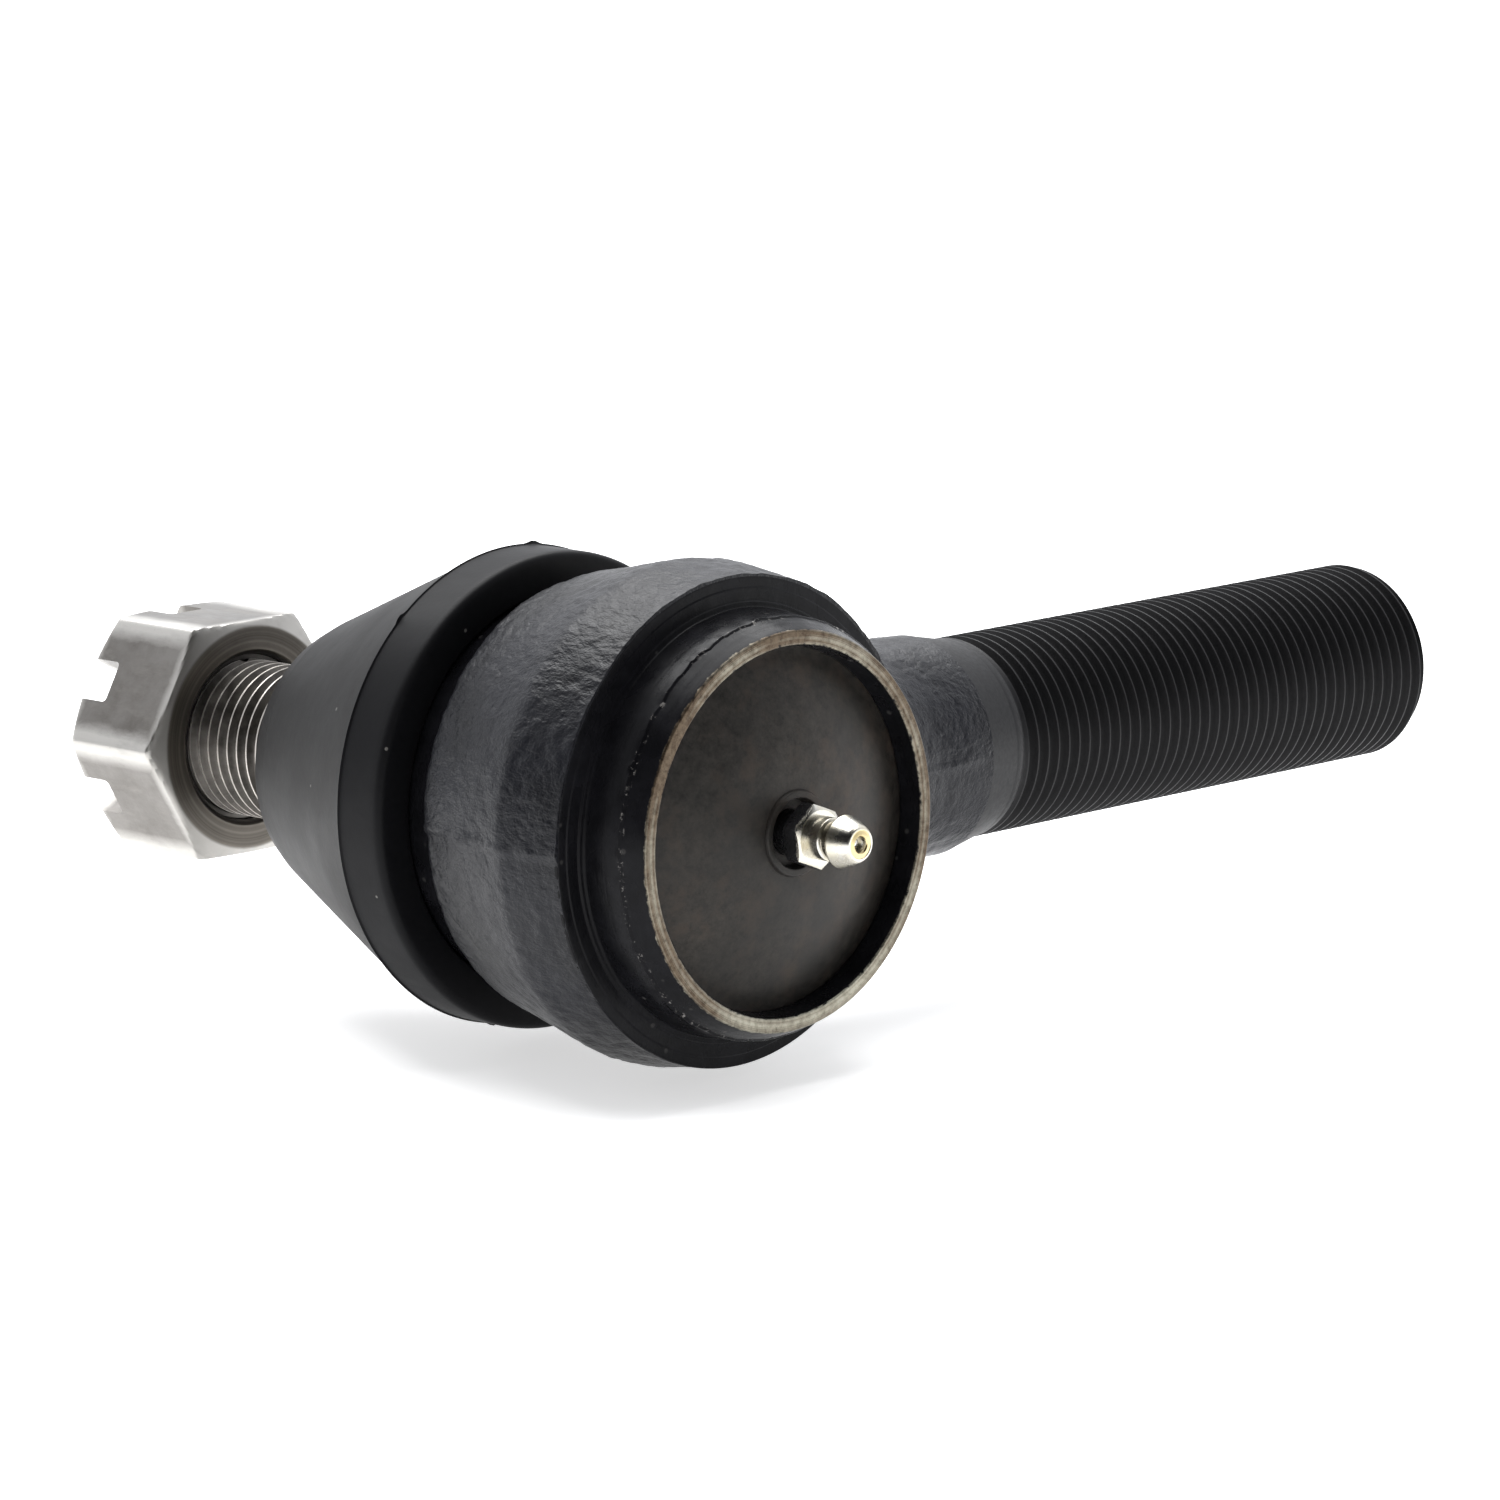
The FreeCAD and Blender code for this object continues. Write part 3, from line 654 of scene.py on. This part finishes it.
# Pieces -----------------------------------------------------------------------------------------

def put(made, material, body=None, replaces=None):
    """Give a finished piece its material and body, and hide the CAD node it replaces."""
    made.data.materials.clear()
    made.data.materials.append(material)
    if replaces:
        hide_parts(replaces)
    if body:
        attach(made, body)
    return made


def neck_fillet_r(x):
    """Radius of the neck where it flares into the head."""
    return NECK_R + NECK_FILLET_R - math.sqrt(NECK_FILLET_R ** 2 - (NECK_FILLET_END - x) ** 2)


def forged_body():
    """Head and neck with a forged skin, a parting line and crisp machined edges."""
    head = lathe("forged_body", STUD, rounded([
        (0, SHOULDER_Y), (SHOULDER_R, SHOULDER_Y, 1.2), (CREASE_R, CREASE_Y, 3.0),
        (FACE_R, FACE_Y, 0), (FACE_R - 0.4, FACE_Y - 3), (0, FACE_Y - 3),
    ]), 256)
    steps = 5
    step = (NECK_FILLET_END - NECK_FLARE_X) / steps
    flare_x = [NECK_FLARE_X + i * step for i in range(steps + 1)]
    flare = [(neck_fillet_r(x), x) for x in flare_x]
    neck = lathe("neck", SHANK, [(0, 2), (14, 2), (flare[0][0] + 0.6, NECK_FLARE_X - 3)]
                 + flare + [(NECK_R, NECK_END + 3), (0, NECK_END + 3)], 160)
    boolean(head, neck, "UNION")
    remesh = head.modifiers.new("skin", "REMESH")
    remesh.mode = "VOXEL"
    remesh.voxel_size = 0.5 * MM
    smooth = head.modifiers.new("soften", "SMOOTH")
    smooth.factor = 0.5
    smooth.iterations = 7
    apply_modifiers(head)

    def skin(places):
        waves = grain(places, (0.11, 0.11, 0.11), 2) * 0.16
        scale = grain(places, (0.6, 0.45, 0.6), 3) * 0.12
        across = places[:, 2] + grain(places, (0.08, 0.08, 0.0), 2) * 0.6
        flash = np.exp(-(across / 0.6) ** 2) * (0.36 + grain(places, (0.3, 0.3, 0.0), 3) * 0.25)
        mismatch = 0.2 * np.tanh(across / 0.5)
        fade = np.clip((NECK_END - places[:, 0]) / 6, 0, 1)
        return (waves + scale + flash + mismatch) * fade

    move_along_normals(head, skin)
    rim = BOOT_RIM_R
    cutter = lathe("cutter", STUD, [
        (0, -60), (60, -60), (60, FACE_Y), (LIP_BASE_R - 0.9, FACE_Y),
        (LIP_BASE_R - 0.9, SHOULDER_Y - 2.5), (COLLAR_R + 0.5, SHOULDER_Y - 2.0),
        (COLLAR_R + 0.5, BOOT_RIM_Y - 1.6), (rim + 1.6, BOOT_RIM_Y - 1.6),
        (rim + 3.0, BOOT_RIM_Y - 0.6), (rim + 3.0, 60), (0, 60),
    ], 192)
    boolean(head, cutter)
    end = lathe("end", SHANK, [(0, NECK_END), (40, NECK_END), (40, 90), (0, 90)], 64)
    boolean(head, end)
    tidy(head)
    shade(head, 50)
    return head


def machined_core():
    """Turned parts of the socket: face, rolled lip, bore, mouth and boot collar."""
    edge_r = FACE_R - 0.12

    def uneven(angle, radius, along):
        """Paint sags and a torn edge where the lip was rolled."""
        on_lip = np.exp(-((along - (LIP_END + 3.3)) / 0.35) ** 2) * (radius > LIP_NECK_R + 1.5)
        tear = np.array([noise.fractal(Vector((math.cos(a) * 9, math.sin(a) * 9, 0)), 0.7, 2.1, 5)
                         for a in angle[0]])
        sag = np.array([noise.fractal(Vector((math.cos(a) * 1.7, math.sin(a) * 1.7, 4)), 0.9, 2, 3)
                        for a in angle[0]])
        foot = np.exp(-((along - (FACE_Y - 1.2)) / 1.1) ** 2) * (radius > LIP_BASE_R - 1.2)
        foot *= radius < FACE_R - 2.5
        return radius + on_lip * tear * 0.25 + foot * sag * 0.2, along + on_lip * tear * 0.3

    made = lathe("machined_core", STUD, divided(rounded([
        (MOUTH_HIGH_R, COLLAR_TOP, 0.4), (COLLAR_R, COLLAR_TOP, 0.7), (COLLAR_R, SHOULDER_Y + 0.1, 1.2),
        (LIP_BASE_R + 0.3, SHOULDER_Y - 0.15), (LIP_BASE_R + 0.3, SHOULDER_Y - 2.6),
        (LIP_BASE_R - 0.85, SHOULDER_Y - 2.6), (LIP_BASE_R - 0.85, FACE_Y + 0.6),
        (edge_r, FACE_Y + 0.6), (edge_r, FACE_Y - 0.02, 0.25), (LIP_BASE_R + 2.9, FACE_Y - 0.02, 0.1),
        (LIP_BASE_R + 2.7, FACE_Y - 0.14, 0.1), (LIP_BASE_R + 1.0, FACE_Y - 0.2, 0.2),
        (LIP_BASE_R + 0.8, FACE_Y - 0.42, 0.2), (LIP_BASE_R + 0.1, FACE_Y - 0.5, 0.9),
        (LIP_BASE_R - 0.3, LIP_END + 3.4, 0.2), (LIP_BASE_R - 0.6, LIP_END + 3.15, 0.3),
        (LIP_OUTER_R, LIP_END, 0.35), (LIP_INNER_R, LIP_END, 0.3), (LIP_NECK_R, PLUG_EDGE_Y - 0.3, 0.3),
        (LIP_NECK_R + 0.4, PLUG_EDGE_Y), (PLUG_R + 0.05, PLUG_EDGE_Y), (PLUG_R + 0.05, PLUG_SEAT_Y),
        (BORE_R, PLUG_SEAT_Y), (BORE_R, BORE_TOP_Y), (MOUTH_LOW_R, BORE_TOP_Y),
    ], 4), 0.9), 360, uneven)
    shade(made, 32)
    return made


def threaded_end():
    """Machined shoulder and rolled thread of the shank."""
    face_r = SHANK_R - THREAD_CHAMFER * SHANK_PITCH
    rest = rounded([
        (face_r, SHANK_END), (3.2, SHANK_END), (2.6, SHANK_END - 0.9), (0, SHANK_END - 2.6),
        (0, NECK_END - 1.5), (NECK_R - 2.0, NECK_END - 1.5), (NECK_R - 2.0, NECK_END),
        (NECK_R - 0.05, NECK_END), (SHANK_R + 0.1, SHANK_THREAD_START - 1.2, 2.0),
    ])
    made = threaded("threaded_end", SHANK, SHANK_R, SHANK_PITCH, SHANK_THREAD_START, SHANK_END, rest)
    shade(made, 32)
    return made


def plug_disc():
    """Domed end plug with a low collar round the fitting."""
    def dented(angle, radius, along):
        wave = np.array([[noise.fractal(Vector((r * math.cos(a), r * math.sin(a), 0)) * 0.09, 0.8, 2, 3)
                          for r, a in zip(rs, angles)] for rs, angles in zip(radius, angle)])
        inside = np.clip((PLUG_R - 1.5 - radius) / 4, 0, 1) * (radius > 6.5)
        return radius, along + wave * 0.12 * inside

    dome_r, collar_r = LIP_NECK_R - 0.5, 5.9
    rise = PLUG_TOP_Y - PLUG_EDGE_Y + 0.1
    count = 9
    dome = []
    for step in range(count + 1):
        share = step / count
        radius = dome_r + (collar_r - dome_r) * share
        dome.append((radius, PLUG_EDGE_Y - 0.1 + rise * math.sin(share * math.pi / 2)))
    under = [(radius, y + 4.0) for radius, y in reversed(dome)]
    made = lathe("plug_disc", STUD, divided(
        [(PLUG_R, PLUG_SEAT_Y - 0.05), (PLUG_R, PLUG_EDGE_Y + 0.05)] + dome
        + rounded([(collar_r, PLUG_TOP_Y - 0.1), (5.7, PLUG_RIM_Y, 0.2), (4.8, PLUG_RIM_Y, 0.2),
                   (4.6, PLUG_RIM_Y + 1.0, 0.3), (4.5, PLUG_TOP_Y + 1.4), (3.15, PLUG_TOP_Y + 1.4),
                   (3.15, PLUG_TOP_Y + 4.0)])
        + under[:-1] + [(dome_r - 0.3, PLUG_SEAT_Y - 0.05)], 1.2), 200, dented)
    shade(made, 32)
    return made


def grease_fitting():
    back, front = FITTING_HEX_BACK_Y, FITTING_HEX_FRONT_Y
    tip = FITTING_TIP_Y
    stem = lathe("grease_fitting", STUD, rounded([
        (0, FITTING_SHANK_END_Y), (2.7, FITTING_SHANK_END_Y), (3.1, FITTING_SHANK_END_Y - 0.6),
        (3.1, back - 0.4), (2.9, front + 1.0), (2.95, front - 0.1), (2.95, front - 2.3, 0.2),
        (2.5, front - 2.55, 0.15), (2.4, front - 4.1, 0.2), (3.45, front - 4.2, 0.15),
        (3.65, front - 4.5, 0.25), (2.55, tip + 0.45, 0.5), (2.25, tip + 0.03, 0.25),
        (1.95, tip, 0.08), (1.9, tip + 0.08, 0.05), (1.75, tip + 0.06, 0.05), (1.25, tip - 0.05, 0.1),
        (1.1, tip + 0.1, 0.1), (0.95, tip + 0.5), (0.95, tip + 1.1), (0, tip + 1.1),
    ], 4), 96)
    bar = hexagon("bar", FITTING_FLATS, back, front, FITTING_HEX_CORNER_DEG)
    corner_r = FITTING_FLATS * FLATS_TO_CORNERS / 2
    envelope = lathe("envelope", STUD, [
        (0, back - 0.01), (corner_r - 0.3, back - 0.01), (corner_r + 0.01, back - 0.3),
        (corner_r + 0.01, front + 0.5), (corner_r - 0.9, front + 0.01), (0, front + 0.01),
    ], 96)
    boolean(bar, envelope, "INTERSECT")
    bevelled(bar, 0.14)
    boolean(stem, bar, "UNION")
    tidy(stem)
    shade(stem, 30)
    return stem


def check_ball():
    """Small polished ball in the mouth of the fitting."""
    centre = (ball_low + ball_high) / 2
    radius = (ball_high.y - ball_low.y) / 2
    arc = [(radius * math.sin(a), centre.y - radius * math.cos(a)) for a in np.linspace(0, np.pi, 25)]
    made = lathe("check_ball", STUD, arc, 48)
    shade(made, 60)
    return made


def stud():
    """Ball stud: half ball, neck, taper, thread and cotter hole."""
    head = []
    low = math.asin(STUD_HEAD_Y / BALL_R)
    for angle in np.linspace(0, low, 12):
        head.append((BALL_R * math.cos(angle), BALL_R * math.sin(angle) - 0.05 * (angle > -0.01)))
    end_r = STUD_R - THREAD_CHAMFER * STUD_PITCH
    relief_r = STUD_R - 0.65 * STUD_PITCH
    rest = rounded([(end_r, STUD_END), (0, STUD_END)]) + [(0, STUD_HEAD_Y)] + head[::-1]
    rest += rounded([
        (STUD_NECK_R, -0.05, 0), (STUD_NECK_R, TAPER_START_Y - 1, 0.4), (TAPER_R, TAPER_START_Y, 0.4),
        (TAPER_END_R, TAPER_END_Y, 0.3), (relief_r, TAPER_END_Y + 0.9, 0.4),
        (relief_r, STUD_THREAD_START - 0.9, 0.3),
    ])
    made = threaded("stud", STUD, STUD_R, STUD_PITCH, STUD_THREAD_START, STUD_END, rest, 128)
    drill = lathe("drill", STUD, [(0, -20), (COTTER_R, -20), (COTTER_R, 20), (0, 20)], 48)
    drill.data.transform(Matrix.Translation((0, COTTER_Y * MM, 0)) @ Matrix.Rotation(math.pi / 2, 4, "X"))
    boolean(made, drill)
    shade(made, 32)
    return made


def boot():
    """Rubber bell with a thick rim, thin moulding flash and a rounded lip on the stud."""
    def moulded(angle, radius, along):
        flash = np.zeros_like(radius)
        for centre, width in ((0.12, 0.03), (3.02, 0.035), (3.3, 0.02), (5.6, 0.02)):
            away = np.abs((angle - centre + math.pi) % TURN - math.pi)
            flash += 1 / (1 + np.exp((away - width) / 0.006))
        on_edge = np.exp(-((along - (BOOT_EDGE_Y - 0.15)) / 0.3) ** 2) * (radius > BOOT_RIM_R - 1)
        slack = 0.18 * np.sin(3 * angle + 0.6) + 0.1 * np.sin(5 * angle)
        cone = np.clip((along - BOOT_EDGE_Y) / 8, 0, 1) * np.clip((BOOT_TOP_Y - along) / 8, 0, 1)
        return radius + on_edge * flash * 0.4 + slack * cone, along

    wall = BOOT_WALL
    made = lathe("boot", STUD, divided(rounded([
        (BOOT_GRIP_R, BOOT_RIM_Y, 0.5), (BOOT_RIM_R, BOOT_RIM_Y, 1.3), (BOOT_RIM_R, BOOT_EDGE_Y - 0.4, 0.15),
        (BOOT_RIM_R + 0.3, BOOT_EDGE_Y - 0.2, 0.1), (BOOT_RIM_R - 0.1, BOOT_EDGE_Y, 0.15),
        (BOOT_WAIST_R + 0.1, BOOT_WAIST_Y, 9.0), (BOOT_SHOULDER_R, BOOT_SHOULDER_Y, 4.0),
        (BOOT_TOP_R, BOOT_TOP_Y, 0.8),
        (BOOT_HOLE_R, BOOT_TOP_Y, 0.4), (BOOT_HOLE_R, BOOT_TOP_Y - 4.0, 0.5),
        (BOOT_WAIST_R - wall, BOOT_WAIST_Y - 1.0, 3.0), (BOOT_RIM_R - wall - 0.6, BOOT_EDGE_Y + 0.4, 1.0),
        (BOOT_RIM_R - wall - 0.6, 19.0), (BOOT_GRIP_R, 18.0, 0.5),
    ], 6), 1.0), 288, moulded)
    shade(made, 40)
    return made


def slotted_nut():
    """Hexagon nut with worn edges, chamfers, a countersink and six slots."""
    apothem = NUT_CORNER_R / FLATS_TO_CORNERS
    bearing_slope = math.tan(math.radians(NUT_CHAMFER_DEG))
    top_slope = math.tan(math.radians(NUT_TOP_CHAMFER_DEG))
    wear = 0.28

    def worn(angle, radius, along):
        """Soft minimum of the six flats and the two chamfer cones."""
        planes = []
        for flat in range(6):
            facing = np.cos(math.pi / 2 - angle - math.radians(SLOT_FIRST_DEG + 60 * flat))
            planes.append(apothem / np.maximum(facing, 0.3))
        planes.append(NUT_BEARING_R + (along - NUT_Y) / bearing_slope)
        planes.append(NUT_BEARING_R + (NUT_TOP - along) / top_slope)
        least = np.min(planes, 0)
        soft = least - wear * np.log(sum(np.exp((least - plane) / wear) for plane in planes))
        outside = radius > NUT_BEARING_R + 0.5
        return np.where(outside, soft, radius), along

    side = [0.0, 0.06, 0.15, 0.3] + list(np.arange(0.5, 3.0, 0.25))
    side += list(np.arange(3.0, NUT_TOP - NUT_Y - 3.2, 0.8))
    side += [NUT_TOP - NUT_Y - rise for rise in np.arange(3.0, 0.3, -0.25)]
    side += [NUT_TOP - NUT_Y - rise for rise in (0.3, 0.15, 0.06, 0.0)]
    bore_r = STUD_R + 0.75
    made = lathe("nut", STUD, rounded([
        (bore_r, NUT_TOP), (bore_r, NUT_Y + NUT_SINK_R - bore_r), (NUT_SINK_R, NUT_Y, 0.3),
        (14.2, NUT_Y), (NUT_BEARING_R - 0.4, NUT_Y),
    ]) + [(NUT_CORNER_R, NUT_Y + rise) for rise in side] + [(NUT_BEARING_R - 0.6, NUT_TOP)],
        432, worn)
    for index in range(6):
        boolean(made, slot_tool(math.radians(SLOT_FIRST_DEG + 60 * index + SLOT_OFFSET_DEG)))
    tidy(made)
    shade(made, 30)
    return made


def slot_tool(angle):
    """Cutter for one slot, with rounded corners at its floor."""
    half = SLOT_WIDTH / 2
    corner = 0.8
    outline = rounded([(-half, NUT_TOP + 2), (-half, NUT_TOP - SLOT_DEPTH, corner),
                       (half, NUT_TOP - SLOT_DEPTH, corner), (half, NUT_TOP + 2)])
    near, far = 5.0, NUT_CORNER_R + 3
    count = len(outline)
    across = Vector((-math.sin(angle), 0, math.cos(angle)))
    out = Vector((math.cos(angle), 0, math.sin(angle)))
    vertices = []
    for reach in (near, far):
        for side, y in outline:
            vertices.append((out * reach + across * side + Vector((0, y, 0))) * MM)
    faces = [tuple(range(count)), tuple(range(count, 2 * count))]
    faces += [(i, (i + 1) % count, (i + 1) % count + count, i + count) for i in range(count)]
    return new_object("slot", vertices, faces)


def nut_thread():
    """Internal thread: a sleeve in the nut's bore whose crests touch the stud's at rest."""
    pitch, crest = STUD_PITCH, STUD_R + 0.06
    depth = 0.55
    low, high = NUT_Y + 1.3, NUT_TOP - SLOT_DEPTH - 0.2
    segments = 96
    form = [(0.0, 0), (0.2, 0), (0.45, 1), (0.75, 1)]
    rows = [(turn + phase, dip) for turn in range(-1, math.ceil((high - low) / pitch) + 2)
            for phase, dip in form]
    angle = np.arange(segments) / segments * TURN
    vertices, faces = [], []
    for turns, dip in rows:
        along = np.clip(low + (turns + angle / TURN - 1) * pitch, low, high)
        vertices += list(place(STUD, crest + depth * dip, angle, along))
    for row in range(len(rows) - 1):
        for column in range(segments):
            side = column + 1
            wrap = len(form) if side == segments else 0
            if row + 1 + wrap >= len(rows):
                continue
            side %= segments
            faces.append((row * segments + column, (row + wrap) * segments + side,
                          (row + 1 + wrap) * segments + side, (row + 1) * segments + column))
    made = new_object("nut_thread", vertices, faces)
    thick = made.modifiers.new("thick", "SOLIDIFY")
    thick.thickness = 0.12 * MM
    thick.offset = 0
    apply_modifiers(made)
    tidy(made)
    shade(made, 32)
    return made


# Build ------------------------------------------------------------------------------------------

black_gloss = machined_paint()
put(forged_body(), forged_paint(), "socket", "socket_forging")
put(machined_core(), black_gloss, "socket", "socket_forging")
put(threaded_end(), shank_paint(), "socket", "socket_forging")
put(plug_disc(), plug_steel(), "socket", "end_plug")
put(grease_fitting(), fitting_plating(), "socket", "grease_fitting_body")
ground = bearing_steel()
put(check_ball(), ground, "check_ball", "fitting_check_ball")
put(stud(), stud_steel(), "stud", "ball_stud")
plain = nut_steel()
put(slotted_nut(), plain, "nut", "slotted_nut")
put(nut_thread(), plain, "nut", "slotted_nut")

rubber = put(boot(), boot_rubber(), replaces="dust_boot")
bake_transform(rubber)

spring = spring_steel()
for node, material in (("upper_race", ground), ("half_ball", ground), ("lower_seat", seat_polymer()),
                       ("disc_spring", spring), ("fitting_spring", spring)):
    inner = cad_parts[node]
    inner.data.materials.clear()
    inner.data.materials.append(material)
    shade(inner, 35)


# Stage, lights and camera -----------------------------------------------------------------------

# The camera as fitted to the photo: directions, place in metres and lens in millimetres
TO_CAMERA = Vector((-0.69602, -0.6948, 0.18115)).normalized()
CAMERA_RIGHT = Vector((0.7048, -0.7093, -0.01251)).normalized()
CAMERA_PLACE = (-0.74926, -0.77212, 0.20522)
LENS = 193.8


def sky(world):
    """White surroundings that are dark only where the camera stands."""
    tree = world.node_tree
    back = tree.nodes["Background"]
    place = tree.nodes.new("ShaderNodeTexCoord")
    facing = tree.nodes.new("ShaderNodeVectorMath")
    facing.operation = "DOT_PRODUCT"
    facing.inputs[1].default_value = TO_CAMERA
    tree.links.new(place.outputs["Generated"], facing.inputs[0])
    glow = tree.nodes.new("ShaderNodeMapRange")
    glow.interpolation_type = "SMOOTHSTEP"
    for name, value in (("From Min", -0.15), ("From Max", 0.5), ("To Min", 1.3), ("To Max", 0.0)):
        glow.inputs[name].default_value = value
    tree.links.new(facing.outputs["Value"], glow.inputs["Value"])
    tree.links.new(glow.outputs[0], back.inputs["Strength"])
    back.inputs["Color"].default_value = (0.95, 0.965, 1.0, 1.0)


def studio():
    """Pale, faintly lit floor and bright surroundings."""
    floor_z = forging_low.z * MM - 0.0004
    size = 30.0
    mesh = bpy.data.meshes.new("floor")
    mesh.from_pydata([(-size, -size, floor_z), (size, -size, floor_z), (size, size, floor_z),
                      (-size, size, floor_z)], [], [(0, 1, 2, 3)])
    floor = bpy.data.objects.new("floor", mesh)
    bpy.context.scene.collection.objects.link(floor)
    mesh.materials.append(floor_paper())

    world = bpy.data.worlds.new("studio")
    bpy.context.scene.world = world
    world.use_nodes = True
    sky(world)


def soft_box(name, location, target, width, height, power):
    """Area light aimed at a point."""
    light = bpy.data.lights.new(name, "AREA")
    light.shape = "RECTANGLE"
    light.size, light.size_y = width, height
    light.energy = power
    made = bpy.data.objects.new(name, light)
    bpy.context.scene.collection.objects.link(made)
    made.location = location
    made.rotation_mode = "QUATERNION"
    made.rotation_quaternion = (Vector(target) - Vector(location)).to_track_quat("-Z", "Y")


def lights():
    """One large, dim box above and behind the part; the surroundings do the rest."""
    middle = (0.04, 0.02, 0)
    soft_box("overhead", (0.3, 0.5, 1.5), middle, 1.6, 1.6, 48)


def camera():
    """Long lens, looking at the head and the closed end from slightly above."""
    view = bpy.data.cameras.new("view")
    made = bpy.data.objects.new("view", view)
    bpy.context.scene.collection.objects.link(made)
    view.lens = LENS
    view.sensor_width = 36.0
    view.clip_start, view.clip_end = 0.05, 100
    ahead = -TO_CAMERA
    up = CAMERA_RIGHT.cross(ahead).normalized()
    right = ahead.cross(up)
    turn = Matrix((right, up, -ahead)).transposed()
    made.matrix_world = Matrix.Translation(CAMERA_PLACE) @ turn.to_4x4()
    bpy.context.scene.camera = made


studio()
lights()
camera()
bpy.context.scene.view_settings.view_transform = "Standard"
